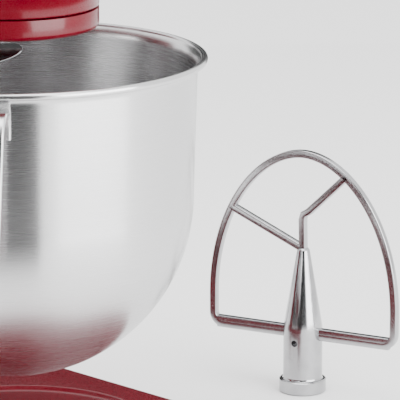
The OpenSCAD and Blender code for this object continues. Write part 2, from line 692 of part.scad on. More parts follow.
module lift_yoke() color(red) difference() {
  union() {
    intersection() {
      translate([0, 0, yoke_z]) cylinder(r = yoke_out_r, h = yoke_h, $fn = 96);
      box([-reach * 2, -4, yoke_z], [reach * 2, column_y - 1.5, yoke_z + yoke_h]);
    }
    for (s = [-1, 1]) translate([s * pin_x, 0, yoke_z]) cylinder(r = 11, h = yoke_h - 2);
    box([-34, yoke_in_r - 12, yoke_z - 8], [34, column_y - 1.5, yoke_z + yoke_h + 22]);
  }
  translate([0, 0, yoke_z - 20]) cylinder(r = yoke_in_r, h = 100, $fn = 96);
  for (s = [-1, 1]) translate([s * pin_x, 0, yoke_z + 4]) cylinder(r = 4 + fixed_gap, h = yoke_h);
  translate([0, 0, rear_pin_z]) rod_y(5, 0, column_y);
  // pocket of the latch spring
  box([-14.2, 0, yoke_z + yoke_h + 3.8], [14.2, yoke_in_r + 3.6 + fixed_gap, yoke_z + yoke_h + 20.2]);
  translate([0, 0, rear_pin_z]) rod_y(6.6, 0, yoke_in_r + 5 + fixed_gap);
}
rear_pin_z = yoke_z + yoke_h + 14;

module slider_block() color(iron) difference() {
  union() {
    box([-rod_x - 7, column_y + column_wall + 2, slider_z], [rod_x + 7, column_y + column_wall + 18,
      slider_z + slider_h]);
    box([1 - slot_w / 2, column_y - 1.5, slider_z + 2], [slot_w / 2 - 1, column_y + column_wall + 3,
      slider_z + slider_h - 2]);
    box([-6, column_y + column_wall + 17, slot_z - 13], [6, shaft_y - 9, slot_z + 13]);
  }
  for (x = [-rod_x, rod_x]) translate([x, rod_y, slider_z - 1])
    cylinder(r = rod_r + running_gap, h = slider_h + 2);
  box([-7, shaft_y - crank_r - crank_pin_r - 2, slot_z - crank_pin_r - slot_play],
    [7, shaft_y, slot_z + crank_pin_r + slot_play]);
  translate([0, 0, rear_pin_z]) rod_y(5, 0, column_y + 4);
}

module locating_pins() color(steel) for (s = [-1, 1]) translate([s * pin_x, 0, 0]) {
  translate([0, 0, yoke_z + 4]) cylinder(r = 4, h = yoke_h + 6);
  translate([0, 0, yoke_z + yoke_h + 10]) cylinder(r1 = 4, r2 = 2.5, h = 2);
}

module latch_spring() color(steel) difference() {
  union() {
    box([-14, yoke_in_r + 2.6, yoke_z + yoke_h + 4], [14, yoke_in_r + 3.6, yoke_z + yoke_h + 20]);
    translate([0, 0, rear_pin_z]) rod_y(6.5, yoke_in_r + 2.6, yoke_in_r + 5);
  }
  translate([0, 0, rear_pin_z]) rod_y(4.2, 0, column_y);
}

// Half of the bowl's outline, filled in to the axis; inset gives the inside
module bowl_half(inset) {
  polygon([[0, round_z], [round_r - inset, round_z], [bowl_wall_r - inset, bowl_top - 8],
    [bowl_wall_r - inset, bowl_top + (inset > 0 ? 2 : -4)], [0, bowl_top + (inset > 0 ? 2 : -4)]]);
  intersection() {
    translate([0, round_z]) circle(r = round_r - inset, $fn = 128);
    translate([0, round_z - bowl_h]) square([bowl_wall_r, bowl_h]);
  }
}
lip_r = 2.1;
flare_c = [bowl_rim_r, bowl_top - 8];
lip_c = [bowl_rim_r - lip_r, bowl_top - lip_r];
function arc(c, r, a0, a1, n) = [for (i = [0:n]) let (a = a0 + (a1 - a0) * i / n) c + r * [cos(a), sin(a)]];
// Round bottom and wall, a quarter-turn flare, a rolled rim, and the same way back inside the sheet
module bowl_shell() color(steel) rotate_extrude($fn = 128) polygon(concat(
  arc([0, round_z], round_r, -90, 0, 24), arc(flare_c, flare_r, 180, 130, 4), arc(lip_c, lip_r, 214, 531, 12),
  arc(flare_c, flare_r + bowl_sheet, 124, 180, 5), arc([0, round_z], round_r - bowl_sheet, 0, -90, 24)));

// The handle's strap in the upright plane through the bowl's axis: [radius, height] of its middle
handle_top = bowl_top - 13;
handle_low = bowl_top - 124;
handle_out = 45;
function handle_mid() = concat(
  [[bowl_wall_r + 0.5, handle_top - 14], [bowl_wall_r + 2.2, handle_top - 4],
   [bowl_wall_r + 7, handle_top + 2]],
  [for (a = [100:-20:0]) [bowl_wall_r + 18 + 15 * cos(a), handle_top - 12 + 16 * sin(a)]],
  [[bowl_wall_r + 37, handle_top - 38], [bowl_wall_r + 41, handle_top - 66],
   [bowl_wall_r + handle_out - 1, handle_low + 16], [bowl_wall_r + handle_out, handle_low]]);
strap_t = 3;
function strap_side(s) = let (m = handle_mid(), n = len(m)) [for (i = [0:n - 1])
  let (t = unit(m[min(i + 1, n - 1)] - m[max(i - 1, 0)])) m[i] + s * strap_t / 2 * [-t[1], t[0]]];
module bowl_handle() color(steel) difference() {
  rotate([0, 0, handle_angle]) intersection() {
    rotate([90, 0, 0]) linear_extrude(height = handle_w + 2, center = true)
      polygon(concat(strap_side(1), [for (i = [len(handle_mid()) - 1:-1:0]) strap_side(-1)[i]]));
    // the strap narrows towards its lower end, and that end is round
    translate([bowl_rim_r - 40, 0, 0]) rotate([0, 90, 0]) linear_extrude(height = 120) {
      polygon([[-bowl_top, handle_w / 2], [-bowl_top, -handle_w / 2], [-handle_low - 11.5, -0.38 * handle_w],
        [-handle_low - 11.5, 0.38 * handle_w]]);
      translate([-handle_low - 12, 0]) circle(r = 0.38 * handle_w);
    }
  }
  bowl_outside();
}
module bowl_outside() rotate_extrude($fn = 128) {
  bowl_half(0);
  translate([0, bowl_top - 12]) square([bowl_wall_r, 12]);
}

module bowl_brackets() color(steel) {
  difference() {
    for (s = [-1, 1]) translate([s * pin_x, 0, yoke_z + yoke_h]) {
      cylinder(r = 10, h = 3);
      translate([s > 0 ? -14 : 0, -10, 0]) cube([14, 20, 3]);
    }
    for (s = [-1, 1]) translate([s * pin_x, 0, yoke_z]) cylinder(r = 4.4, h = 60);
    bowl_outside();
  }
  difference() {
    translate([0, 0, rear_pin_z]) {
      rod_y(4, bowl_wall_r - 6, column_y - 2.5);
      rod_y(8, bowl_wall_r - 6, bowl_wall_r + 1);
    }
    bowl_outside();
  }
}

// ---- lift lever ----

module lift_crank_shaft() color(steel) translate([0, shaft_y, shaft_z]) {
  rod_x(shaft_r, -column_w / 2 - 4, lever_x + 10);
  rotate([180 - lever_swing / 2, 0, 0]) for (x = [-14, 8]) {
    rod_x(11, x, x + 6);
    box([x, 0, -8], [x + 6, crank_r, 8]);
    translate([0, crank_r, 0]) rod_x(8, x, x + 6);
  }
  rotate([180 - lever_swing / 2, 0, 0]) translate([0, crank_r, 0]) rod_x(crank_pin_r, -14, 14);
}

module lift_lever() color(steel)
  translate([lever_x, shaft_y, shaft_z]) rotate([lever_rest, 0, 0]) difference() {
  union() {
    rod_x(14, -2, 10);
    box([0, 0, -9], [8, lever_len, 9]);
    translate([0, lever_len, 0]) rod_x(9, 0, 8);
    translate([8, lever_len, 0]) rod_x(4, -1, 22.5);
  }
  rod_x(shaft_r + fixed_gap, -3, 11);
}

module lever_grip() color(dark) translate([lever_x + 8.5, shaft_y, shaft_z]) rotate([lever_rest, 0, 0])
  translate([0, lever_len, 0]) rotate([0, 90, 0]) rotate_extrude() difference() {
    union() {
      translate([0, 4]) square([12, 18]);
      square([9, 24]);
      translate([8, 4]) circle(r = 4);
      translate([8, 20]) circle(r = 4);
    }
    translate([-20, -1]) square([20 + 4 + fixed_gap, 24]);
    translate([-20, -10]) square([20, 50]);
  }

// ---- planetary ----

hub_round = 3;
module planetary_hub() color(red) difference() {
  rotate_extrude($fn = 96) difference() {
    union() {
      translate([0, hub_bottom + hub_round]) square([hub_r, hub_h - hub_round]);
      translate([0, hub_bottom]) square([hub_r - hub_round, hub_h]);
      translate([hub_r - hub_round, hub_bottom + hub_round]) circle(r = hub_round);
      translate([0, hub_bottom]) square([14, ring_z + ring_h - hub_bottom]);
    }
    square([main_shaft_r + fixed_gap, 1000]);
    translate([main_shaft_r + 14, hub_bottom + 6]) square([hub_r - main_shaft_r - 18, 20]);
  }
  translate([agitator[0], agitator[1], hub_bottom - 1]) cylinder(r = 9 + fixed_gap, h = 30);
  translate([0, 0, hub_bottom + 17]) rotate([0, 0, agitator_angle + 90]) rod_x(2.5 + fixed_gap, -15, 15, 32);
}
module planet_bush() color(bronze) translate([agitator[0], agitator[1], 0]) {
  ring(9, agitator_r + running_gap, hub_bottom - 0.6, hub_top - 1);
  ring(10.5, agitator_r + running_gap, hub_bottom - 1.6, hub_bottom - 0.1);
}

module main_shaft() color(steel) difference() {
  translate([0, 0, hub_bottom + 3]) cylinder(r = main_shaft_r, h = center_z + center_h + 12 - hub_bottom - 3);
  translate([0, 0, hub_bottom + 17]) rotate([0, 0, agitator_angle + 90]) rod_x(2.5 + fixed_gap, -15, 15, 32);
}
module planetary_pin() color(steel) translate([0, 0, hub_bottom + 17]) rotate([0, 0, agitator_angle + 90])
  rod_x(2.5, -13.6, 13.6, 32);

module center_gear() color(iron) translate([0, 0, center_z]) difference() {
  union() {
    linear_extrude(height = center_h) rotate(red_angle) gear_2d(center_teeth);
    cylinder(r = 15, h = center_h + 4);
  }
  translate([0, 0, -1]) cylinder(r = main_shaft_r + fixed_gap, h = 30);
  for (a = [0:60:300]) rotate([0, 0, a]) translate([29, 0, -1]) cylinder(r = 9, h = 20);
}

module bevel(phase) {
  linear_extrude(height = bevel_face, scale = (bevel_r - bevel_face) / bevel_r) rotate(phase)
    gear_2d(bevel_teeth, backlash * 1.3, 0.75 * gear_module, 1.1 * gear_module);
}
module center_bevel_gear() color(iron) difference() {
  union() {
    translate([0, 0, hub_axis_z - bevel_r]) bevel(-90);
    translate([0, 0, center_z + center_h + 4]) cylinder(r = 13, h = 4 + eps);
  }
  translate([0, 0, center_z]) cylinder(r = main_shaft_r + fixed_gap, h = 60);
}

// ---- tool shaft ----

socket_z = bowl_top - 19;
pin_z = socket_z + 14;
module agitator_shaft() color(steel) translate([agitator[0], agitator[1], 0]) difference() {
  union() {
    translate([0, 0, socket_z + 2]) cylinder(r = agitator_r, h = ring_z + ring_h - socket_z - 2);
    translate([0, 0, hub_top - 1 + 0.3]) cylinder(r = 8.5, h = 2);
  }
  translate([0, 0, pin_z]) rod_x(2 + fixed_gap, -12, 12, 32);
}
module agitator_pin() color(steel) translate([agitator[0], agitator[1], pin_z]) rod_x(2, -10.5, 10.5, 32);

module planet_pinion() color(iron) translate([agitator[0], agitator[1], ring_z + 1]) difference() {
  linear_extrude(height = ring_h - 1) rotate(agitator_angle) gear_2d(planet_teeth);
  translate([0, 0, -1]) cylinder(r = agitator_r + fixed_gap, h = 20);
}

sleeve_top = bowl_top + 9;
module shaft_spring() color(steel) translate([agitator[0], agitator[1], 0])
  tube([for (i = [0:54]) let (a = 20 * i)
    [8.2 * cos(a), 8.2 * sin(a), sleeve_top + 1 + (hub_bottom - sleeve_top - 3.6) * i / 54]],
    0.7, 6, [0, 0, 1]);

// The hook's bar: out from the sleeve, round and down, and in again over the bowl's floor
hook_top = socket_z + 4;
hook_low = bowl_bottom + 27;
hook_turn = 400;
function hook_mid(t) = let (in = max(0, (t - 0.4) / 0.6), a = agitator_angle + 60 + hook_turn * t,
    r = hook_r * sin(90 * min(1, t / 0.3)) * (1 - 0.7 * in * in * (3 - 2 * in)))
  [r * cos(a), r * sin(a), hook_top + (hook_low - hook_top) * (t + 0.05 * sin(360 * t))];
module dough_hook() color(steel) translate([agitator[0], agitator[1], 0]) difference() {
  union() {
    translate([0, 0, socket_z]) cylinder(r = 11, h = sleeve_top - socket_z);
    tube([for (i = [0:48]) hook_mid(i / 48)], hook_bar_r, 12, [0, 0, 1]);
    translate([0, 0, bowl_top + 3])
      rotate([7.3 * sin(agitator_angle + 180), -7.3 * cos(agitator_angle + 180), 0])
      rotate_extrude($fn = 96) polygon([[0, -4], [12, -4], [guard_r - 1.5, -6], [guard_r, -4.6],
        [guard_r - 1.2, -3.2], [12, 0], [0, 0]]);
  }
  translate([0, 0, socket_z + 1.8]) cylinder(r = beater_socket_r, h = 40);
  translate([0, 0, pin_z]) rod_x(2.1, -12, 12, 32);
}

// ---- reduction shaft ----

module pinion_shaft() color(steel) translate([red_x, red_y, web_z + 12.2])
  cylinder(r = 6, h = bracket_z - web_z - 9);
module drive_pinion() color(iron) translate([red_x, red_y, center_z - 1]) difference() {
  linear_extrude(height = center_h + 2) rotate(red_angle + 180 + 180 / pinion_teeth) gear_2d(pinion_teeth);
  translate([0, 0, -1]) cylinder(r = 6 + fixed_gap, h = 20);
}
wheel_h = 10;
wheel_twist = wheel_h * (worm_lead / (2 * PI * worm_r)) / wheel_r * 180 / PI;
module worm_wheel() color(bronze) translate([red_x, red_y, motor_z]) difference() {
  union() {
    linear_extrude(height = wheel_h, center = true, twist = -wheel_twist, slices = 2, segments = 1)
      rotate(180 + 180 / wheel_teeth - wheel_twist / 2)
        gear_2d(wheel_teeth, backlash, 0.75 * gear_module, 1.1 * gear_module);
    translate([0, 0, -wheel_h / 2 - 6]) cylinder(r = 11, h = 7);
  }
  translate([0, 0, -20]) cylinder(r = 6 + fixed_gap, h = 40);
}

// ---- motor ----

// Cross-section of the worm: each start is one lobe, whose flanks climb evenly with the angle
worm_up = 0.75 * gear_module;
worm_down = 1.1 * gear_module;
function worm_half(up) = (PI * gear_module / 2 - backlash) / 2 - up * tan(20);
worm_2d = [for (s = [0:worm_starts - 1], k = [-4:5])
  let (j = min(abs(k), 4), up = worm_up - (worm_up + worm_down) * max(j - 1, 0) / 3,
       a = k == 5 ? 180 / worm_starts : sign(k) * worm_half(up) / worm_lead * 360,
       r = k == 5 ? worm_r - worm_down : worm_r + up)
  r * [cos(a + 360 * s / worm_starts), sin(a + 360 * s / worm_starts)]];
module armature_shaft() color(steel) translate([0, 0, motor_z]) {
  rod_y(5, thrust_y - 4, bell_back_y + 9);
  translate([0, red_y, 0]) rotate([-90, 0, 0])
    linear_extrude(height = worm_l, center = true, twist = -360 * worm_l / worm_lead, slices = 28,
      segments = 1)
      rotate(-180 * worm_l / worm_lead) polygon(worm_2d);
}

module armature_core() color(iron) translate([0, 0, motor_z]) difference() {
  rod_y(armature_r, stator_y, stator_y + stator_l);
  rod_y(5 + fixed_gap, stator_y - 1, stator_y + stator_l + 1);
  for (a = [0:30:330]) rotate([0, a, 0]) box([armature_r - 7, stator_y - 1, -1.4], [armature_r + 1,
    stator_y + stator_l + 1, 1.4]);
}
module commutator() color(copper) translate([0, 0, motor_z]) difference() {
  rod_y(commutator_r, commutator_y, commutator_y + commutator_l);
  rod_y(5 + fixed_gap, commutator_y - 1, commutator_y + commutator_l + 1);
  for (a = [0:30:330]) rotate([0, a, 0]) box([commutator_r - 1, commutator_y - 1, -0.4], [commutator_r + 1,
    commutator_y + commutator_l + 1, 0.4]);
}
fan_y = bell_front_y + 10;
module cooling_fan() color(dark) translate([0, 0, motor_z]) difference() {
  union() {
    rod_y(36, fan_y, fan_y + 1.6);
    rod_y(10, fan_y, fan_y + 8);
    for (a = [0:36:324]) rotate([0, a, 0]) box([8, fan_y, -0.9], [35, fan_y + 8, 0.9]);
  }
  rod_y(5 + fixed_gap, fan_y - 1, fan_y + 9);
}

// ---- power hub ----

square_w = 9.6;
module hub_drive_shaft() color(steel) translate([0, 0, hub_axis_z]) difference() {
  union() {
    rod_y(hub_shaft_r, hub_floor_y + 1.5, 3 - bevel_r);
    rod_y(hub_shaft_r - 2, -bevel_r, bevel_face - bevel_r + 1);
  }
  box([-square_w / 2, hub_floor_y, -square_w / 2], [square_w / 2, hub_floor_y + 13, square_w / 2]);
}
module hub_bevel_gear() color(iron) translate([0, 0, hub_axis_z]) difference() {
  union() {
    translate([0, -bevel_r, 0]) rotate([-90, 0, 0]) bevel(90 + 180 / bevel_teeth);
    rod_y(13, -bevel_r - 3.7, -bevel_r + eps);
  }
  rod_y(hub_shaft_r + fixed_gap, -bevel_r - 5, 3 - bevel_r + fixed_gap);
  rod_y(hub_shaft_r - 2 + fixed_gap, -bevel_r - 5, 5);
}

module hub_thumb_screw() color(dark) translate([0, screw_y, hub_axis_z]) {
  rod_x(3, knob_x - 1, -hub_bore_r - 0.6);
  rod_x(5.5, knob_x - 1, knob_x + 4);
  difference() {
    rod_x(13, knob_x - 13, knob_x);
    for (a = [0:30:330]) rotate([a, 0, 0]) translate([0, 14.2, 0]) rod_x(2.2, knob_x - 14, knob_x - 2, 24);
  }
}
knob_x = -head_w / 2 + 2;

module hub_cap() color(steel) translate([0, 0, hub_axis_z]) difference() {
  union() {
    rod_y(hub_socket_r + 4.5, hub_lip_y - 2.6, hub_lip_y - 0.4, 96);
    rod_y(hub_socket_r - 3, hub_lip_y - 4.4, hub_lip_y - 2.5, 96);
    translate([0, hinge_y, hinge_up]) rod_x(3.4, -5.7, 5.7, 32);
    box([-5.7, hub_lip_y - 2.6, hub_socket_r - 2], [5.7, hub_lip_y - 0.4, hinge_up]);
  }
  translate([0, hinge_y, hinge_up]) rod_x(1.5 + running_gap, -20, 20, 32);
}

// ---- speed control ----

module speed_lever() color(steel) translate([speed_x, speed_y, speed_z]) rotate([0, 0, 160]) difference() {
  union() {
    translate([0, 0, -1.5]) cylinder(r = 7, h = 3);
    box([0, -5, -1.5], [head_w / 2 - 6, 5, 1.5]);
  }
  translate([0, 0, -5]) cylinder(r = 3 + running_gap, h = 10);
}
module speed_knob() color(dark) translate([speed_x, speed_y, speed_z]) rotate([0, 0, 160])
  translate([head_w / 2 - 10, 0, 0]) rotate([0, 90, 0]) difference() {
    rotate_extrude() {
      square([5, 10]);
      translate([0, 8]) square([8, 10]);
      translate([0, 6]) square([6, 14]);
      translate([6, 8]) circle(r = 2);
      translate([6, 18]) circle(r = 2);
    }
    box([-1.5 - fixed_gap, -5 - fixed_gap, -1], [1.5 + fixed_gap, 5 + fixed_gap, 4 + fixed_gap]);
  }

// ---- flat beater ----

hub_tube_r = 13;
function arch(t, inset) = let (w = beater_half_w - inset, h = beater_h - arch_z - inset)
  [w * pow(1 - pow(abs(t), 2), 0.53) , arch_z + h * abs(t)];
function arch_side(s, inset) = [for (i = [0:16]) let (p = arch(sin(90 * i / 16), inset)) [s * p[0], p[1]]];
// Outline of the frame drawn in by inset: arms at the bottom, small round corners, arch above
corner_r = 9;
function frame_outline(inset) =
  let (w = beater_half_w - inset, z = arm_z - 4 + inset, c = corner_r - inset / 2)
  concat(
    [for (a = [-90:15:0]) [w - c + c * cos(a), z + c + c * sin(a)]], arch_side(1, inset),
    [for (i = [15:-1:0]) arch_side(-1, inset)[i]],
    [for (a = [180:15:270]) [c - w + c * cos(a), z + c + c * sin(a)]]);
module bar_2d(a, b, w) {
  d = unit(b - a);
  n = w / 2 * [-d[1], d[0]];
  polygon([a + n, a - n, b - n, b + n]);
}
module flat_beater() color(steel)
  translate([beater_x, beater_y, 0]) rotate([0, 0, beater_turn]) difference() {
  union() {
    cylinder(r = hub_tube_r + 2.5, h = 9);
    cylinder(r = hub_tube_r, h = arm_z + 4);
    translate([0, 0, arm_z + 4 - eps]) cylinder(r1 = hub_tube_r, r2 = 4, h = 52);
    rotate([90, 0, 0]) linear_extrude(height = beater_t, center = true) {
      difference() {
        polygon(frame_outline(0));
        polygon(frame_outline(beater_bar));
      }
      translate([0, arm_z]) square([2 * beater_half_w - 12, 8], center = true);
      translate([-2.5, 60]) square([5, 60]);
      bar_2d([0, 97], [-0.81 * beater_half_w, 121], 5);
      bar_2d([-1, 118], [0.46 * beater_half_w, 149], 5);
    }
  }
  translate([0, 0, -1]) cylinder(r = beater_socket_r, h = 31);
  for (s = [-1, 1]) translate([0, 0, arm_z - 5]) rotate([0, 0, 90])
    rod_x(2.2, s > 0 ? 4 : -20, s > 0 ? 20 : -4, 24);
}

base_casting();
rubber_feet();
union() { column(); column_webs(); }
column_bolts();
lift_guide_rods();
gearcase();
motor_housing();
end_cover();
housing_screws();
trim_band();
ring_gear();
union() { main_bearing(); motor_bearings(); }  // ball_bearings
gear_bracket();
union() { gear_bushes(); lift_shaft_bushes(); }  // bronze_bushes
motor_end_bells();
motor_stator();
field_coils();
brush_holders();
brush_caps();
hub_socket();
hub_cap_pin();
control_plate();
speed_control_board();
cord_gland();
lift_yoke();
slider_block();
locating_pins();
latch_spring();
bowl_shell();
bowl_handle();
bowl_brackets();
lift_crank_shaft();
lift_lever();
lever_grip();
planetary_hub();
main_shaft();
planetary_pin();
center_gear();
center_bevel_gear();
planet_bush();
agitator_shaft();
planet_pinion();
agitator_pin();
shaft_spring();
dough_hook();
pinion_shaft();
drive_pinion();
worm_wheel();
armature_shaft();
armature_core();
commutator();
cooling_fan();
hub_drive_shaft();
hub_bevel_gear();
speed_lever();
speed_knob();
hub_thumb_screw();
hub_cap();
flat_beater();
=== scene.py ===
"""Looks of a bowl-lift stand mixer: shells, bowl, tools and small parts, with studio light and camera.

Lengths in the sub-assembly classes are millimetres in the row frame: +Z up, -Y to the mixer's
front, the origin on the worktop under the planetary axis. Meshes are written in metres.
"""

import json
import logging
import math
from dataclasses import dataclass, field
from enum import Enum
from typing import Callable, Iterable, Sequence

import bmesh
import bpy
import numpy as np
from mathutils import Matrix, Vector

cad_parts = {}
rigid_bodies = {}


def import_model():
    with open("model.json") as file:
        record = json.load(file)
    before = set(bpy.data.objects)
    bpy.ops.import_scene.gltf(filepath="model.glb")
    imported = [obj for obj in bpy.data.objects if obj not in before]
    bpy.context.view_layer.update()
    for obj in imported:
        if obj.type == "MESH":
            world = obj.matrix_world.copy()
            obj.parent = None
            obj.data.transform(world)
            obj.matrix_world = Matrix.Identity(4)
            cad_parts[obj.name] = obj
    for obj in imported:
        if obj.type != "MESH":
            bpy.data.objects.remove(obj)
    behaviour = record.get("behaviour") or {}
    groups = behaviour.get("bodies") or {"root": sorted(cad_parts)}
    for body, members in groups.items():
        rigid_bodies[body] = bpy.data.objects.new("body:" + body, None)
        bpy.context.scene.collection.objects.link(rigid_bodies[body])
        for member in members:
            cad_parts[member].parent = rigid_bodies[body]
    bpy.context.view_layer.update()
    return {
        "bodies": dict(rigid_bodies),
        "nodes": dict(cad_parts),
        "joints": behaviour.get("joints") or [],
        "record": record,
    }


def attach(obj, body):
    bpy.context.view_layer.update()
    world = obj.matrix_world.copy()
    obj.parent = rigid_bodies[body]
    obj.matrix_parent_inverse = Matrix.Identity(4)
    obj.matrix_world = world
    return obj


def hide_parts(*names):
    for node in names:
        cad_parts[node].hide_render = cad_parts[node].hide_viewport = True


log = logging.getLogger("mixer")
MM = 0.001
Point = tuple[float, float, float]
Flat = tuple[float, float]


# ---------------------------------------------------------------- meshes


def signed_power(value: float, power: float) -> float:
    """Raises a number's size to a power and keeps its sign."""
    return math.copysign(abs(value) ** power, value)


def arc(cx: float, cz: float, radius: float, start: float, end: float, steps: int) -> list[Flat]:
    """Points of an arc in a plane.

    Args:
        cx: first coordinate of the centre.
        cz: second coordinate of the centre.
        radius: radius of the arc.
        start: first angle in degrees.
        end: last angle in degrees.
        steps: number of chords.

    Returns:
        The points in order, both ends included.
    """
    angles = [math.radians(start + (end - start) * i / steps) for i in range(steps + 1)]
    return [(cx + radius * math.cos(a), cz + radius * math.sin(a)) for a in angles]


def rounded_rect(width: float, depth: float, radius: float, steps: int = 14) -> list[Flat]:
    """Outline of a centred rectangle with round corners, anticlockwise."""
    hx, hy = width / 2 - radius, depth / 2 - radius
    corners = [(hx, hy, 0), (-hx, hy, 90), (-hx, -hy, 180), (hx, -hy, 270)]
    return [p for x, y, a in corners for p in arc(x, y, radius, a, a + 90, steps)]


class Shape:
    """A mesh under construction, in millimetres."""

    def __init__(self) -> None:
        self.points: list[Point] = []
        self.faces: list[tuple[int, ...]] = []
        self.uvs: list[tuple[Flat, ...]] = []

    def _face(self, corners: Sequence[int], uv: Sequence[Flat] | None = None) -> None:
        self.faces.append(tuple(corners))
        self.uvs.append(tuple(uv) if uv else tuple((self.points[c][0], self.points[c][2]) for c in corners))

    def loft(self, rings: Sequence[Sequence[Point]], cap_start: bool = True, cap_end: bool = True,
             closed: bool = False) -> "Shape":
        """Joins equal closed rings of points with quads.

        Args:
            rings: the rings, each with the same number of points.
            cap_start: whether the first ring is filled.
            cap_end: whether the last ring is filled.
            closed: whether the last ring joins the first.

        Returns:
            This shape.
        """
        base, n = len(self.points), len(rings[0])
        for ring in rings:
            self.points.extend(tuple(map(float, p)) for p in ring)
        lengths = [0.0]
        for a, b in zip(rings, rings[1:]):
            lengths.append(lengths[-1] + float(np.mean(np.linalg.norm(np.subtract(b, a), axis=1))))
        count = len(rings) if closed else len(rings) - 1
        for i in range(count):
            i2 = (i + 1) % len(rings)
            v0, v1 = lengths[i], lengths[i + 1] if i + 1 < len(lengths) else lengths[-1] + 1
            for j in range(n):
                j2 = (j + 1) % n
                u0, u1 = j / n, (j + 1) / n
                self._face((base + i * n + j, base + i * n + j2, base + i2 * n + j2, base + i2 * n + j),
                           ((u0, v0), (u1, v0), (u1, v1), (u0, v1)))
        if not closed:
            if cap_start:
                self._face([base + j for j in reversed(range(n))])
            if cap_end:
                self._face([base + (len(rings) - 1) * n + j for j in range(n)])
        return self

    def revolve(self, profile: Sequence[Flat], steps: int = 192, x: float = 0.0,
                y: float = 0.0, closed: bool = False) -> "Shape":
        """Turns a profile of (radius, height) points about an upright axis."""
        turn = [2 * math.pi * j / steps for j in range(steps)]
        rings = [[(x + r * math.cos(a), y + r * math.sin(a), z) for a in turn] for r, z in profile]
        return self.loft(rings, cap_start=False, cap_end=False, closed=closed)

    def sweep(self, path: Sequence[Point], section: Sequence[Flat], side: Point,
              scale: Callable[[float], float] | None = None, closed: bool = False) -> "Shape":
        """Carries a section along a path.

        Args:
            path: the points of the path.
            section: the section's outline, its first coordinate along cross(path, side).
            side: a direction that the path never takes.
            scale: size of the section for a place from 0 to 1 along the path.
            closed: whether the path is a loop.

        Returns:
            This shape.
        """
        pts = [Vector(p) for p in path]
        n, rings = len(pts), []
        for i, p in enumerate(pts):
            a = pts[(i - 1) % n] if closed or i else p
            b = pts[(i + 1) % n] if closed or i < n - 1 else p
            t = (b - a).normalized()
            u = t.cross(Vector(side)).normalized()
            v = t.cross(u)
            k = scale(i / (n - 1)) if scale else 1.0
            rings.append([tuple(p + k * (sx * u + sy * v)) for sx, sy in section])
        return self.loft(rings, closed=closed)

    def move(self, matrix: Matrix) -> "Shape":
        """Moves every point by a matrix in millimetres."""
        self.points = [tuple(matrix @ Vector(p)) for p in self.points]
        return self

    def add(self, other: "Shape") -> "Shape":
        """Takes in another shape's points and faces."""
        base = len(self.points)
        self.points.extend(other.points)
        self.faces.extend(tuple(i + base for i in f) for f in other.faces)
        self.uvs.extend(other.uvs)
        return self

    def build(self, name: str, bevel: float = 0.0, smooth_deg: float = 35.0) -> bpy.types.Object:
        """Makes a Blender object from the shape.

        Args:
            name: the object's name.
            bevel: width of the rounding of sharp edges, in millimetres.
            smooth_deg: edges flatter than this are shaded smooth.

        Returns:
            The new object at the origin.
        """
        mesh = bpy.data.meshes.new(name)
        mesh.from_pydata([(x * MM, y * MM, z * MM) for x, y, z in self.points], [], self.faces)
        layer = mesh.uv_layers.new(name="UVMap")
        flat = [uv for face in self.uvs for uv in face]
        if len(flat) == len(layer.data):
            layer.data.foreach_set("uv", [c for uv in flat for c in uv])
        return settle(link(bpy.data.objects.new(name, mesh)), bevel, smooth_deg)


def link(obj: bpy.types.Object) -> bpy.types.Object:
    """Puts an object in the scene's collection."""
    bpy.context.scene.collection.objects.link(obj)
    return obj


def settle(obj: bpy.types.Object, bevel: float = 0.0, smooth_deg: float = 35.0) -> bpy.types.Object:
    """Welds a mesh, turns its normals outward, rounds its edges and sets its shading."""
    bm = bmesh.new()
    bm.from_mesh(obj.data)
    bmesh.ops.remove_doubles(bm, verts=bm.verts, dist=2e-6)
    bmesh.ops.dissolve_degenerate(bm, edges=bm.edges, dist=1e-6)
    bmesh.ops.recalc_face_normals(bm, faces=bm.faces)
    bm.to_mesh(obj.data)
    bm.free()
    if bevel:
        mod = obj.modifiers.new("Bevel", "BEVEL")
        mod.width, mod.segments, mod.limit_method = bevel * MM, 3, "ANGLE"
        mod.angle_limit, mod.harden_normals, mod.use_clamp_overlap = math.radians(38), False, True
        apply_modifiers(obj)
    for poly in obj.data.polygons:
        poly.use_smooth = True
    sharpen(obj.data, smooth_deg)
    return obj


def sharpen(mesh: bpy.types.Mesh, smooth_deg: float) -> None:
    """Marks the edges steeper than an angle as sharp."""
    bm = bmesh.new()
    bm.from_mesh(mesh)
    limit = math.radians(smooth_deg)
    for edge in bm.edges:
        edge.smooth = len(edge.link_faces) == 2 and edge.calc_face_angle(0.0) < limit
    bm.to_mesh(mesh)
    bm.free()


def apply_modifiers(obj: bpy.types.Object) -> None:
    """Replaces an object's mesh by the result of its modifiers, and removes them."""
    bpy.context.view_layer.update()
    graph = bpy.context.evaluated_depsgraph_get()
    mesh = bpy.data.meshes.new_from_object(obj.evaluated_get(graph), preserve_all_data_layers=True,
                                           depsgraph=graph)
    obj.modifiers.clear()
    old, obj.data = obj.data, mesh
    if old.users == 0:
        bpy.data.meshes.remove(old)


def cut(obj: bpy.types.Object, cutter: bpy.types.Object) -> None:
    """Takes a closed cutter away from a closed mesh."""
    mod = obj.modifiers.new("Cut", "BOOLEAN")
    mod.operation, mod.solver, mod.object = "DIFFERENCE", "EXACT", cutter
    apply_modifiers(obj)
    bpy.data.objects.remove(cutter)


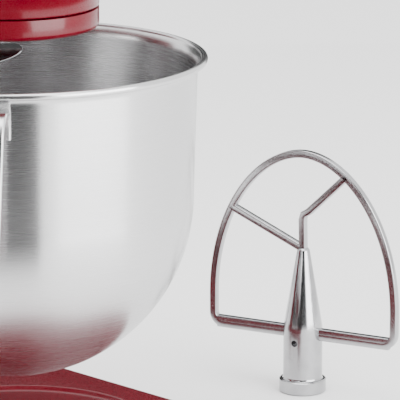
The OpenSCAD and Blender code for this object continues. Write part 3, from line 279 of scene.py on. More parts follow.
def keep_side(obj: bpy.types.Object, axis: int, at: float, above: bool) -> None:
    """Cuts a mesh by a plane across a row axis and keeps one side.

    Args:
        obj: the mesh.
        axis: 0, 1 or 2 for X, Y or Z.
        at: place of the plane in millimetres.
        above: whether the side with the larger coordinate stays.
    """
    normal = Vector((0, 0, 0))
    normal[axis] = 1
    place = Vector((0, 0, 0))
    place[axis] = at * MM
    bm = bmesh.new()
    bm.from_mesh(obj.data)
    geom = bm.verts[:] + bm.edges[:] + bm.faces[:]
    bmesh.ops.bisect_plane(bm, geom=geom, dist=1e-7, plane_co=place, plane_no=normal,
                           clear_outer=not above, clear_inner=above)
    bm.to_mesh(obj.data)
    bm.free()


def thicken(obj: bpy.types.Object, inward: float, bevel: float = 0.5) -> None:
    """Gives an open sheet a wall that grows inward, with softened edges."""
    mod = obj.modifiers.new("Wall", "SOLIDIFY")
    mod.thickness, mod.offset, mod.use_even_offset = inward * MM, -1, True
    apply_modifiers(obj)
    settle(obj, bevel)


def joined(name: str, parts: Iterable[bpy.types.Object]) -> bpy.types.Object:
    """Makes one object of several."""
    items = list(parts)
    bm = bmesh.new()
    for item in items:
        bm.from_mesh(item.data)
    mesh = bpy.data.meshes.new(name)
    bm.to_mesh(mesh)
    bm.free()
    for item in items:
        bpy.data.objects.remove(item)
    for poly in mesh.polygons:
        poly.use_smooth = True
    return link(bpy.data.objects.new(name, mesh))


# ---------------------------------------------------------------- finishes


class Nodes:
    """Writes shader maths as calls on a material's node tree."""

    def __init__(self, name: str) -> None:
        self.material = bpy.data.materials.new(name)
        self.material.use_nodes = True
        self.tree = self.material.node_tree
        self.shader = self.tree.nodes["Principled BSDF"]

    def node(self, kind: str, **settings: object) -> bpy.types.Node:
        """Adds a node and sets its properties."""
        made = self.tree.nodes.new(kind)
        for key, value in settings.items():
            setattr(made, key, value)
        return made

    def link(self, source: bpy.types.NodeSocket, target: bpy.types.NodeSocket) -> None:
        """Links two sockets."""
        self.tree.links.new(source, target)

    def place(self, scale: Point, from_uv: bool = False) -> bpy.types.NodeSocket:
        """Scaled texture coordinates: the object's own, or its UV map."""
        source = self.node("ShaderNodeTexCoord").outputs["UV" if from_uv else "Object"]
        mapping = self.node("ShaderNodeMapping")
        mapping.inputs["Scale"].default_value = scale
        self.link(source, mapping.inputs["Vector"])
        return mapping.outputs["Vector"]

    def noise(self, place: bpy.types.NodeSocket, scale: float, detail: float = 4.0) -> bpy.types.NodeSocket:
        """A noise value from about 0 to 1."""
        made = self.node("ShaderNodeTexNoise")
        made.inputs["Scale"].default_value = scale
        made.inputs["Detail"].default_value = detail
        self.link(place, made.inputs["Vector"])
        return made.outputs["Fac"]

    def spread(self, value: bpy.types.NodeSocket, low: float, high: float) -> bpy.types.NodeSocket:
        """Maps the middle of a noise to a range."""
        made = self.node("ShaderNodeMapRange")
        for key, number in (("From Min", 0.3), ("From Max", 0.7), ("To Min", low), ("To Max", high)):
            made.inputs[key].default_value = number
        self.link(value, made.inputs["Value"])
        return made.outputs["Result"]

    def tint(self, value: bpy.types.NodeSocket, low: Sequence[float], high: Sequence[float]) -> None:
        """Lets the base colour run between two colours with a noise."""
        ramp = self.node("ShaderNodeValToRGB")
        for element, at, colour in zip(ramp.color_ramp.elements, (0.3, 0.7), (low, high)):
            element.position, element.color = at, (*colour, 1)
        self.link(value, ramp.inputs["Fac"])
        self.link(ramp.outputs["Color"], self.shader.inputs["Base Color"])

    def bump(self, value: bpy.types.NodeSocket, strength: float, depth: float) -> None:
        """Adds relief, its depth in millimetres."""
        made = self.node("ShaderNodeBump")
        made.inputs["Strength"].default_value = strength
        made.inputs["Distance"].default_value = depth * MM
        self.link(value, made.inputs["Height"])
        self.link(made.outputs["Normal"], self.shader.inputs["Normal"])

    def set(self, **values: float) -> None:
        """Sets constants on the shader, with _ for a space in a socket's name."""
        for key, value in values.items():
            self.shader.inputs[key.replace("_", " ")].default_value = value


class Grain(Enum):
    """How a surface is textured."""

    SMOOTH = "smooth"
    ROUND = "round"
    MOULDED = "moulded"
    CAST = "cast"


@dataclass(frozen=True)
class Finish:
    """One material: colours, gloss and grain."""

    slot: str
    low: Point
    high: Point
    metallic: float
    rough: Flat
    grain: Grain = Grain.SMOOTH
    coat: float = 0.0
    relief: float = 0.02
    scale: float = 60.0
    brushed: float = 0.0
    specular: float = 0.5

    def make(self) -> bpy.types.Material:
        """Builds the material."""
        n = Nodes(self.slot)
        n.set(Metallic=self.metallic, Coat_Weight=self.coat, Coat_Roughness=0.1, Anisotropic=self.brushed,
              Anisotropic_Rotation=0.25, Specular_IOR_Level=self.specular)
        broad = n.noise(n.place((1, 1, 1)), self.scale)
        if self.grain is Grain.ROUND:
            streak = n.noise(n.place((6, 3.2, 1), from_uv=True), 1.0, 6.0)
            n.tint(streak, self.low, self.high)
            n.link(n.spread(streak, *self.rough), n.shader.inputs["Roughness"])
            n.bump(streak, 0.25, self.relief)
        elif self.grain is Grain.SMOOTH:
            n.tint(broad, self.low, self.high)
            fine = n.noise(n.place((1, 1, 1)), self.scale * 9)
            n.link(n.spread(fine, *self.rough), n.shader.inputs["Roughness"])
            n.bump(broad, 0.1, self.relief)
        else:
            fine = n.noise(n.place((1, 1, 1)), 2200.0 if self.grain is Grain.MOULDED else 700.0)
            n.tint(broad, self.low, self.high)
            n.link(n.spread(fine, *self.rough), n.shader.inputs["Roughness"])
            n.bump(fine, 0.35, self.relief)
        return n.material


FINISHES = (
    Finish("red_enamel", (0.12, 0.0004, 0.007), (0.135, 0.0006, 0.0085), 0.0, (0.25, 0.3), coat=0.4,
           relief=0.01, scale=240, specular=0.2),
    Finish("brushed_stainless", (0.63, 0.63, 0.635), (0.66, 0.66, 0.665), 1.0, (0.25, 0.28), Grain.ROUND,
           relief=0.0005, brushed=0.85),
    Finish("polished_steel", (0.38, 0.38, 0.39), (0.46, 0.46, 0.47), 1.0, (0.12, 0.22), scale=90,
           relief=0.01),
    Finish("machined_steel", (0.5, 0.5, 0.52), (0.6, 0.6, 0.61), 1.0, (0.22, 0.34), scale=120),
    Finish("cast_iron", (0.16, 0.165, 0.17), (0.24, 0.245, 0.25), 1.0, (0.42, 0.6), Grain.CAST, relief=0.05),
    Finish("bronze", (0.48, 0.31, 0.12), (0.6, 0.4, 0.17), 1.0, (0.25, 0.4), scale=120),
    Finish("copper_winding", (0.42, 0.16, 0.06), (0.6, 0.27, 0.12), 1.0, (0.25, 0.42), scale=400),
    Finish("black_plastic", (0.012, 0.012, 0.013), (0.018, 0.018, 0.02), 0.0, (0.34, 0.46), Grain.MOULDED),
    Finish("black_rubber", (0.012, 0.012, 0.013), (0.02, 0.02, 0.021), 0.0, (0.65, 0.8), Grain.MOULDED),
    Finish("circuit_board", (0.11, 0.06, 0.02), (0.15, 0.09, 0.035), 0.0, (0.4, 0.55), scale=300),
)


class Library:
    """Holds the finishes and hands pieces to the frame."""

    def __init__(self, frame: dict) -> None:
        self.frame = frame
        self.materials = {f.slot: f.make() for f in FINISHES}
        self.slots = {s["node"]: s["material_slot"] for s in frame["record"]["subparts"]}
        self.body_of = {n: b for b, ns in frame["record"]["behaviour"]["bodies"].items() for n in ns}
        self.done: set[str] = set()

    def dress(self, obj: bpy.types.Object, *nodes: str) -> bpy.types.Object:
        """Gives a piece its finish and body, and lets it stand for CAD nodes.

        Args:
            obj: the piece, at rest in the row frame.
            nodes: the CAD nodes it stands for, all of one body and one material slot.

        Returns:
            The piece.
        """
        name = self.slots[nodes[0]]
        obj.data.materials.clear()
        obj.data.materials.append(self.materials[name])
        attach(obj, self.body_of[nodes[0]])
        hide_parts(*nodes)
        self.done.update(nodes)
        return obj

    def refine(self, node: str, bevel: float = 0.25, smooth_deg: float = 32.0) -> bpy.types.Object:
        """Copies a CAD node's mesh, rounds its edges and lets it stand for the node."""
        obj = link(bpy.data.objects.new(node + "_fine", self.frame["nodes"][node].data.copy()))
        bm = bmesh.new()
        bm.from_mesh(obj.data)
        bmesh.ops.remove_doubles(bm, verts=bm.verts, dist=4e-6)
        bmesh.ops.dissolve_limit(bm, angle_limit=math.radians(0.6), verts=bm.verts, edges=bm.edges)
        bm.to_mesh(obj.data)
        bm.free()
        settle(obj, bevel, smooth_deg)
        return self.dress(obj, node)


# ---------------------------------------------------------------- repeats


def repeat_round(name: str, piece: bpy.types.Object, count: int, step: Point, turn: Point,
                 start: Point, seed: int = 7) -> bpy.types.Object:
    """Repeats a piece in a row or a ring with Geometry Nodes.

    Args:
        name: name of the result.
        piece: the piece to repeat; it is removed.
        count: number of copies.
        step: millimetres from one copy to the next.
        turn: degrees about X, Y and Z from one copy to the next, round the origin of the piece.
        start: place of the first copy in millimetres.
        seed: seed of the copies' tiny size changes.

    Returns:
        One mesh object with all the copies.
    """
    tree = bpy.data.node_groups.new(name, "GeometryNodeTree")
    face = tree.interface
    for label, kind in (("Geometry", "NodeSocketGeometry"), ("Piece", "NodeSocketObject"),
                        ("Count", "NodeSocketInt"), ("Step", "NodeSocketVector"),
                        ("Turn", "NodeSocketVector"), ("Start", "NodeSocketVector"),
                        ("Seed", "NodeSocketInt")):
        face.new_socket(label, in_out="INPUT", socket_type=kind)
    face.new_socket("Geometry", in_out="OUTPUT", socket_type="NodeSocketGeometry")
    add, wire = tree.nodes.new, tree.links.new
    inputs, output = add("NodeGroupInput"), add("NodeGroupOutput")
    line = add("GeometryNodeMeshLine")
    wire(inputs.outputs["Count"], line.inputs["Count"])
    wire(inputs.outputs["Start"], line.inputs["Start Location"])
    wire(inputs.outputs["Step"], line.inputs["Offset"])
    index = add("GeometryNodeInputIndex")
    times = add("ShaderNodeVectorMath")
    times.operation = "SCALE"
    wire(inputs.outputs["Turn"], times.inputs[0])
    wire(index.outputs[0], times.inputs["Scale"])
    info = add("GeometryNodeObjectInfo")
    wire(inputs.outputs["Piece"], info.inputs["Object"])
    wobble = add("FunctionNodeRandomValue")
    wobble.data_type = "FLOAT"
    wobble.inputs[2].default_value, wobble.inputs[3].default_value = 0.999, 1.001
    wire(inputs.outputs["Seed"], wobble.inputs["Seed"])
    copies = add("GeometryNodeInstanceOnPoints")
    wire(line.outputs["Mesh"], copies.inputs["Points"])
    wire(info.outputs["Geometry"], copies.inputs["Instance"])
    wire(times.outputs[0], copies.inputs["Rotation"])
    wire(wobble.outputs[1], copies.inputs["Scale"])
    real = add("GeometryNodeRealizeInstances")
    wire(copies.outputs["Instances"], real.inputs["Geometry"])
    paint = add("GeometryNodeSetMaterial")
    wire(real.outputs["Geometry"], paint.inputs["Geometry"])
    wire(paint.outputs["Geometry"], output.inputs["Geometry"])

    host = link(bpy.data.objects.new(name, bpy.data.meshes.new(name)))
    mod = host.modifiers.new("Repeat", "NODES")
    mod.node_group = tree
    values = {"Piece": piece, "Count": count, "Step": tuple(s * MM for s in step),
              "Turn": tuple(math.radians(t) for t in turn), "Start": tuple(s * MM for s in start),
              "Seed": seed}
    for item in face.items_tree:
        if item.item_type == "SOCKET" and item.in_out == "INPUT" and item.name in values:
            mod[item.identifier] = values[item.name]
    apply_modifiers(host)
    bpy.data.objects.remove(piece)
    settle(host)
    return host


# ---------------------------------------------------------------- head


@dataclass
class Head:
    """The lofted head, split into gear case, motor housing and end cover."""

    width: float = 128.0
    height: float = 107.4
    mid: float = 365.3
    hub_z: float = 357.0
    front: float = -85.0
    nose: float = 60.0
    back: float = 240.0
    tail: float = 50.0
    seam: float = 334.0
    split: float = 220.0
    seam_gap: float = 0.25
    split_gap: float = 0.3
    hub_tube_r: float = 21.02
    hub_tube_end: float = -42.0
    bottom: float = 311.6
    collar_low: float = 293.6
    hub_r: float = 52.9
    neck_low: float = 303.6
    wall: float = 3.5
    column_mid: float = 172.0

    def ring(self, t: float, end: int, inset: float, n: int = 176) -> list[Point]:
        """One cross-section: t from 0 at full size to 1 at the tip, end -1 in front and 1 behind."""
        s = max(1 - t ** 2.4, 0.0) ** (1 / 2.4)
        mid = self.mid + ((self.hub_z - self.mid) * t if end < 0 else 0)
        y = self.front + self.nose - (self.nose - inset) * t if end < 0 else \
            self.back - self.tail + (self.tail - inset) * t
        half_w, half_h = max(self.width / 2 * s - inset, 0.0), max(self.height / 2 * s - inset, 0.0)
        points = []
        for i in range(n):
            a = 2 * math.pi * i / n
            power = 2 / (2.3 if i < n / 2 else 3.2)
            points.append((half_w * signed_power(math.cos(a), power), y,
                           mid + half_h * signed_power(math.sin(a), power)))
        return points

    def skin(self, name: str, inset: float = 0.0) -> bpy.types.Object:
        """The whole head as a closed surface, drawn in by inset."""
        tip = [math.sin(math.pi / 2 * k / 30) for k in range(31)]
        rings = [self.ring(t, -1, inset) for t in reversed(tip)]
        rings += [self.ring(0, 1, inset)] + [self.ring(t, 1, inset) for t in tip[1:]]
        return Shape().loft(rings, cap_start=False, cap_end=False).build(name)

    def shell(self, name: str, cuts: Sequence[tuple[int, float, bool]], inset: float = 0.0,
              wall: float | None = None) -> bpy.types.Object:
        """Part of the head's skin with a wall.

        Args:
            name: the object's name.
            cuts: planes as (axis, place, keep the upper side).
            inset: how far the skin is drawn in.
            wall: thickness of the wall.

        Returns:
            The shell.
        """
        obj = self.skin(name, inset)
        for axis, at, above in cuts:
            keep_side(obj, axis, at, above)
        thicken(obj, wall or self.wall, 0.6)
        return obj

    def collar(self) -> Shape:
        """The round flare over the planetary, as a revolved wall."""
        rise, flare = self.bottom - self.collar_low, self.width / 2 - 0.1 - self.hub_r
        outer = [(self.hub_r + flare * (1 - math.cos(a)), self.collar_low + rise * math.sin(a))
                 for a in (math.pi / 2 * i / 28 for i in range(29))]
        edge, low = 0.9, self.collar_low
        profile = [(49.7, low + 0.6), (50.3, low), (self.hub_r - edge, low),
                   *arc(self.hub_r - edge, low + edge, edge, -90, 0, 4), *outer[2:],
                   (63.9, self.seam - 0.5), (63.4, self.seam), (60.5, self.seam), (60.5, 313), (49.7, 307)]
        return Shape().revolve(profile, 256, closed=True)

    def neck(self) -> Shape:
        """The gear case's foot on the column."""
        rings = []
        for z, inset in ((self.neck_low, 0.8), (self.neck_low + 0.25, 0.3), (self.neck_low + 0.9, 0),
                         (self.seam - 6, 0)):
            outline = rounded_rect(92 - 2 * inset, 88 - 2 * inset, 16 - inset)
            rings.append([(x, y + self.column_mid, z) for x, y in outline])
        return Shape().loft(rings)

    def hub_plug(self, radius: float, near: float) -> bpy.types.Object:
        """A cutter along the power hub's axis, from in front of the nose to a place inside."""
        plug = Shape().revolve([(0, -near), (radius, -near), (radius, 140), (0, 140)], 128)
        return plug.move(Matrix.Translation((0, 0, self.hub_z)) @ Matrix.Rotation(math.pi / 2, 4, "X")) \
            .build("cutter")

    def build(self, lib: Library) -> None:
        """Makes the three castings, the trim band and the vents."""
        front_side = (1, self.split - self.split_gap, False)
        lower = self.shell("gearcase_skin", [(2, self.seam - self.seam_gap, False), front_side])
        cut(lower, self.hub_plug(self.hub_tube_r, self.hub_tube_end))
        settle(lower)
        case = joined("gearcase_cast", [lower, self.collar().build("collar"), self.neck().build("neck")])
        sharpen(case.data, 35)
        lib.dress(case, "gearcase")

        upper = self.shell("housing_skin", [(2, self.seam + self.seam_gap, True), front_side])
        pocket = box_shape((-66, 153.4, 335.9), (-60.9, 207.7, 350.1))
        slot = box_shape((-70, 157.5, 339), (-50, 203.5, 347))
        bore = self.hub_plug(self.hub_tube_r, self.hub_tube_end)
        for cutter in (pocket.build("cutter"), slot.build("cutter"), bore):
            cut(upper, cutter)
        settle(upper)
        lib.dress(upper, "motor_housing")

        cover = self.shell("cover_skin", [(1, self.split + self.split_gap, True)])
        slat = Shape().loft([[(x, y, z) for x, z in rounded_rect(52, 4, 1.99, 8)] for y in (223, 245)])
        cut(cover, repeat_round("vents", slat.build("slat"), 7, (0, 0, 9), (0, 0, 0), (0, 0, 335)))
        settle(cover, 0.3)
        lib.dress(cover, "end_cover")

        edges = [(2, 352, True), (2, 362, False), (1, self.split - 2 * self.split_gap, False)]
        band = self.shell("band", edges, -0.95, 0.9)
        cut(band, self.hub_plug(28, -60))
        cut(band, box_shape((-80, -73, 350), (-1, -53, 364)).build("cutter"))
        settle(band)
        lib.dress(band, "trim_band")


def box_shape(low: Point, high: Point) -> Shape:
    """A box between two corners."""
    (x0, y0, z0), (x1, y1, z1) = low, high
    return Shape().loft([[(x0, y0, z), (x1, y0, z), (x1, y1, z), (x0, y1, z)] for z in (z0, z1)])


# ---------------------------------------------------------------- stand


@dataclass
class Stand:
    """Base casting and column."""

    top: float = 33.5
    foot: float = 3.0
    edge: float = 8.0
    dish: float = 82.0
    dish_depth: float = 2.5
    corners: tuple[Point, ...] = ((78, 33, -53), (78, -33, -53), (46, 58, 194), (46, -58, 194))
    shaft_y: float = 187.95
    shaft_z: float = 193.0
    pad_top: float = 46.0
    column_mid: float = 172.0
    neck_low: float = 303.6

    def outline(self, inset: float, z: float, n: int = 360) -> list[Point]:
        """The base's outline at a height, drawn in by inset."""
        points = []
        for i in range(n):
            a = 2 * math.pi * (i + 0.5) / n
            ux, uy = math.cos(a), math.sin(a)
            r, x, y = max(self.corners, key=lambda c: c[1] * ux + c[2] * uy + c[0])
            points.append((x + (r - inset) * ux, y + (r - inset) * uy, z))
        return points

    def circle(self, radius: float, z: float, n: int = 360) -> list[Point]:
        """A ring about the bowl's axis, in step with the outline."""
        turn = [2 * math.pi * (i + 0.5) / n for i in range(n)]
        return [(radius * math.cos(a), radius * math.sin(a), z) for a in turn]

    def base(self) -> bpy.types.Object:
        """The hollow base with its dish, and the foot of the column."""
        e, low = self.edge, self.top - self.dish_depth
        rings = [self.circle(0.01, 25.9), self.outline(5, 25.9), self.outline(5, self.foot + 1),
                 self.outline(4.2, self.foot), self.outline(1, self.foot), self.outline(0.3, self.foot + 0.3),
                 self.outline(0, self.foot + 1)]
        rings += [self.outline(e - e * math.cos(a), self.top - e + e * math.sin(a))
                  for a in (math.pi / 2 * k / 12 for k in range(13))]
        rings += [self.circle(r, z) for r, z in (
            (self.dish + 1.2, self.top), (self.dish + 0.4, self.top - 0.15),
            (self.dish - 0.2, self.top - 0.6), (self.dish - 1.6, low + 0.6), (self.dish - 2.4, low + 0.12),
            (self.dish - 3.4, low), (40, low),
            (0.01, low))]
        body = Shape().loft(rings, cap_start=False, cap_end=False).build("base_body")
        pad = []
        for k in range(15):
            a = math.pi / 2 * k / 14
            out = 4 + 18 * (1 - math.sin(a))
            z = self.top - 0.4 + (self.pad_top - self.top + 0.4) * (1 - math.cos(a))
            pad.append([(x, y + self.column_mid, z)
                        for x, y in rounded_rect(92 + 2 * out, 88 + 1.5 * out, 16 + out * 0.8)])
        pad.append([(x, y + self.column_mid, self.pad_top) for x, y in rounded_rect(80, 76, 12)])
        foot = Shape().loft(pad).build("column_foot")
        done = joined("base_cast", [body, foot])
        sharpen(done.data, 35)
        return done

    def column(self) -> bpy.types.Object:
        """The hollow column with the slot of the lift."""
        sizes = [(92, self.pad_top), (92, self.neck_low - 1.0), (91.4, self.neck_low - 0.35),
                 (90.4, self.neck_low - 0.1), (80, self.neck_low - 0.1), (80, self.pad_top)]
        rings = [[(x, y + self.column_mid, z) for x, y in rounded_rect(w, w - 4, 16 - (92 - w) / 2)]
                 for w, z in sizes]
        obj = Shape().loft(rings, closed=True).build("column_cast")
        cut(obj, box_shape((-18, 120, 147), (18, 136, 241)).build("cutter"))
        place = Matrix.Translation((0, self.shaft_y, self.shaft_z)) @ Matrix.Rotation(math.pi / 2, 4, "Y")
        bore = Shape().revolve([(0, -70), (10, -70), (10, 70), (0, 70)], 64)
        cut(obj, bore.move(place).build("cutter"))
        settle(obj, 0.5)
        return obj

    def build(self, lib: Library) -> None:
        """Makes both castings."""
        lib.dress(self.base(), "base_casting")
        lib.dress(self.column(), "column")


# ---------------------------------------------------------------- bowl


@dataclass
class Bowl:
    """Spun bowl with a rolled rim, and its strap handle."""

    rim_r: float = 117.5
    flare: float = 6.1
    top: float = 263.0
    bottom: float = 68.5
    sheet: float = 1.4
    taper: float = 2.4
    lip: float = 2.1
    handle_angle: float = -137.5
    handle_w: float = 30.0
    handle_low: float = 139.0
    strap: float = 3.0

    def shell(self) -> bpy.types.Object:
        """The bowl's sheet as one revolved profile."""
        wall = self.rim_r - self.flare
        r, z = wall - self.taper, self.bottom + wall - self.taper
        profile = [*arc(0, z, r, -90, 0, 72), *[(r + (wall - r) * k / 6, z + (self.top - 8 - z) * k / 6)
                                                for k in range(1, 6)],
                   *arc(self.rim_r, self.top - 8, self.flare, 180, 130, 10),
                   *arc(self.rim_r - self.lip, self.top - self.lip, self.lip, 214, 531, 28),
                   *arc(self.rim_r, self.top - 8, self.flare + self.sheet, 124, 180, 12),
                   *[(wall - self.sheet + (r - wall) * k / 6, self.top - 8 + (z - self.top + 8) * k / 6)
                     for k in range(1, 6)],
                   *arc(0, z, r - self.sheet, 0, -90, 72)]
        profile = [(max(p[0], 0.0), p[1]) for p in profile]
        return Shape().revolve(profile, 320).build("bowl_sheet", smooth_deg=60)

    def handle(self) -> bpy.types.Object:
        """The strap, narrower towards its round lower end."""
        wall, top = self.rim_r - self.flare, self.top - 13
        mid = [(wall + 0.5, top - 14), (wall + 2.2, top - 4), (wall + 7, top + 2)]
        mid += [(wall + 18 + 15 * math.cos(math.radians(a)), top - 12 + 16 * math.sin(math.radians(a)))
                for a in range(100, -1, -20)]
        mid += [(wall + 37, top - 38), (wall + 41, top - 66), (wall + 44, self.handle_low + 16),
                (wall + 45, self.handle_low)]
        path = smooth_path([(r, 0.0, z) for r, z in mid], 96)
        low = self.handle_low

        def half(z: float, place: float) -> float:
            full = self.handle_w / 2 * (0.76 + 0.24 * min(max((z - low) / (self.top - low), 0), 1))
            left = (z - low) / (0.38 * self.handle_w)
            return full * math.sqrt(max(1 - (1 - left) ** 2, 0.0)) if left < 1 and place > 0.5 else full

        rings = []
        for i, p in enumerate(path):
            a, b = path[max(i - 1, 0)], path[min(i + 1, len(path) - 1)]
            t = (Vector(b) - Vector(a)).normalized()
            out = Vector((t.z, 0, -t.x))
            w = max(half(p[2], i / (len(path) - 1)), 0.4)
            section = rounded_rect(2 * w, self.strap, min(self.strap / 2 - 0.05, w - 0.01), 6)
            rings.append([tuple(Vector(p) + out * sy + Vector((0, sx, 0))) for sx, sy in section])
        return Shape().loft(rings).move(Matrix.Rotation(math.radians(self.handle_angle), 4, "Z")) \
            .build("handle_strap", smooth_deg=50)

    def build(self, lib: Library) -> None:
        """Makes the bowl and its handle."""
        lib.dress(self.shell(), "bowl_shell")
        lib.dress(self.handle(), "bowl_handle")


def smooth_path(points: Sequence[Point], count: int) -> list[Point]:
    """A Catmull-Rom curve through points, sampled evenly along its length."""
    pts = [np.array(p, float) for p in points]
    pts = [2 * pts[0] - pts[1], *pts, 2 * pts[-1] - pts[-2]]
    fine: list[np.ndarray] = []
    for a, b, c, d in zip(pts, pts[1:], pts[2:], pts[3:]):
        for s in np.linspace(0, 1, 24, endpoint=False):
            fine.append(0.5 * (2 * b + (c - a) * s + (2 * a - 5 * b + 4 * c - d) * s ** 2
                               + (3 * b - a - 3 * c + d) * s ** 3))
    fine.append(pts[-2])
    run = np.concatenate([[0], np.cumsum(np.linalg.norm(np.diff(fine, axis=0), axis=1))])
    rows = np.array(fine)
    even = np.linspace(0, run[-1], count)
    return [tuple(float(np.interp(e, run, rows[:, k])) for k in range(3)) for e in even]


# ---------------------------------------------------------------- drive and tools


@dataclass
class Planetary:
    """The turning hub under the gear case."""

    bottom: float = 280.3
    top: float = 292.8
    radius: float = 52.9
    agitator: Flat = (-24.5134, 20.5692)

    def build(self, lib: Library) -> None:
        """Makes the hub with its rounded lower edge."""
        b, r = self.bottom, self.radius
        profile = [(8.6, b + 25), (8.6, b), (17, b), (r - 3, b),
                   *arc(r - 3, b + 3, 3, -90, 0, 14)[1:], (r, self.top - 0.7), (r - 0.2, self.top - 0.2),
                   (r - 0.7, self.top), (48.9, self.top), (48.9, b + 6), (22.5, b + 6), (22.5, self.top),
                   (14, self.top), (14, b + 25)]
        hub = Shape().revolve(profile, 256, closed=True).build("planetary_cast")
        x, y = self.agitator
        bore = Shape().revolve([(0, b - 5), (9.02, b - 5), (9.02, b + 30), (0, b + 30)], 96, x, y)
        cut(hub, bore.build("cutter"))
        settle(hub)
        lib.dress(hub, "planetary_hub")


@dataclass
class DoughHook:
    """Sleeve, climb guard and spiral bar, on the tool shaft."""

    x: float = -24.5134
    y: float = 20.5692
    angle: float = 140.0
    top: float = 248.0
    low: float = 95.5
    spiral: float = 46.0
    bar: float = 6.5
    turn: float = 400.0
    guard: float = 39.0
    guard_z: float = 266.0

    def path(self, t: float) -> Point:
        """A point of the bar's middle, t from 0 at the sleeve to 1 at the tip."""
        inner = max(0.0, (t - 0.4) / 0.6)
        a = math.radians(self.angle + 60 + self.turn * t)
        r = self.spiral * math.sin(math.pi / 2 * min(1, t / 0.3))
        r *= 1 - 0.7 * inner * inner * (3 - 2 * inner)
        z = self.top + (self.low - self.top) * (t + 0.05 * math.sin(2 * math.pi * t))
        return r * math.cos(a), r * math.sin(a), z

    def build(self, lib: Library) -> None:
        """Makes the hook as one piece."""
        circle = arc(0, 0, self.bar, 0, 360, 40)[:-1]
        end = 0.965

        def size(s: float) -> float:
            return 1.0 if s < end else max(math.sqrt(max(1 - ((s - end) / (1 - end)) ** 2, 0)), 0.02)

        bar = Shape().sweep([self.path(i / 220) for i in range(221)], circle, (0, 0, 1), size)
        sleeve = Shape().revolve([(6.6, 244.4), (7, 244), (10.2, 244), (11, 244.8), (11, 271), (10.4, 271.8),
                                  (9.8, 272), (7, 272), (6.6, 271.6)], 96, closed=True)
        g = self.guard
        disc = Shape().revolve([(10.5, -4), (12, -4), (g - 1.5, -6), *arc(g - 1.35, -4.65, 1.35, -95, 80, 8),
                                (12, 0), (10.5, 0)], 192, closed=True)
        bearing = math.radians(self.angle + 180)
        tilt = Vector((math.sin(bearing), -math.cos(bearing), 0))
        disc.move(Matrix.Translation((0, 0, self.guard_z)) @ Matrix.Rotation(math.radians(7.3), 4, tilt))
        place = Matrix.Translation((self.x, self.y, 0))
        parts = [s.move(place).build(n) for s, n in ((bar, "bar"), (sleeve, "sleeve"), (disc, "disc"))]
        hook = joined("hook_cast", parts)
        sharpen(hook.data, 40)
        lib.dress(hook, "dough_hook")


@dataclass
class FlatBeater:
    """The loose beater, standing on its hub."""

    x: float = 258.3
    y: float = 10.6
    turn: float = -71.2
    half_w: float = 68.9
    height: float = 163.4
    arm_z: float = 40.0
    arch_z: float = 60.0
    bar: float = 5.0

    def arch(self, s: float) -> Flat:
        """The middle of the arched bar: s from 0 at its right foot to 1 at its left foot."""
        k = 1 - abs(2 * s - 1)
        t = math.sin(math.pi / 2 * k)
        w, h = self.half_w - self.bar / 2, self.height - self.arch_z - self.bar / 2
        return math.copysign(w * (1 - t * t) ** 0.53, 0.5 - s) if s != 0.5 else 0.0, self.arch_z + h * t

    def flat_bar(self, points: Sequence[Flat], width: float, closed: bool = False,
                 depth: float = 5.0) -> Shape:
        """A bar with rounded edges that follows points in the beater's plane."""
        section = rounded_rect(width, depth, 0.9, 5)
        return Shape().sweep([(u, 0.0, z) for u, z in points], section, (0, 1, 0), closed=closed)

    def build(self, lib: Library) -> None:
        """Makes the frame, its struts and the hub as one piece."""
        c, w, z = 8.0, self.half_w - self.bar / 2, self.arm_z - 1.5
        loop = [self.arch(i / 120) for i in range(121)]
        loop += arc(c - w, z + c, c, 180, 270, 12)
        loop += [(u, z) for u in np.linspace(c - w, w - c, 30)[1:-1]]
        loop += arc(w - c, z + c, c, 270, 360, 12)
        frame = self.flat_bar(loop, self.bar, closed=True)
        web = self.flat_bar([(3.5 - w, self.arm_z), (w - 3.5, self.arm_z)], 7.9, depth=4.92)
        post = self.flat_bar([(0, 60), (0, 90), (-0.6, 117), (0.4, 120.4), (4, 122.5),
                              (0.455 * self.half_w, 148.9)], 4.8)
        strut = self.flat_bar([(0, 97), (-0.775 * self.half_w, 120.2)], 4.8)
        hub = Shape().revolve([(6.6, 0.5), (7.1, 0), (14.9, 0), (15.5, 0.6), (15.5, 8.2), (14.9, 8.8),
                               (13.6, 9), (13.1, 9.6), (13, 10.4), (13, 42), (12.8, 45), (12.2, 48.5),
                               (4.2, 96),
                               (3.4, 97.2), (2, 97.8), (0, 98), (0, 30.2), (6.6, 30)], 128)
        place = Matrix.Translation((self.x, self.y, 0)) @ Matrix.Rotation(math.radians(self.turn), 4, "Z")
        hub_obj = hub.move(place).build("hub")
        pins = Shape().revolve([(0, 5), (2.2, 5), (2.2, 20), (0, 20)], 32)
        for side in (-1, 1):
            turned = Matrix.Translation((0, 0, 35)) @ Matrix.Rotation(side * math.pi / 2, 4, "X")
            cut(hub_obj, Shape().add(pins).move(place @ turned).build("cutter"))
        settle(hub_obj)
        named = ((frame, "frame"), (web, "web"), (post, "post"), (strut, "strut"))
        parts = [s.move(place).build(n) for s, n in named]
        beater = joined("beater_cast", [*parts, hub_obj])
        sharpen(beater.data, 38)
        lib.dress(beater, "flat_beater")


# ---------------------------------------------------------------- small parts


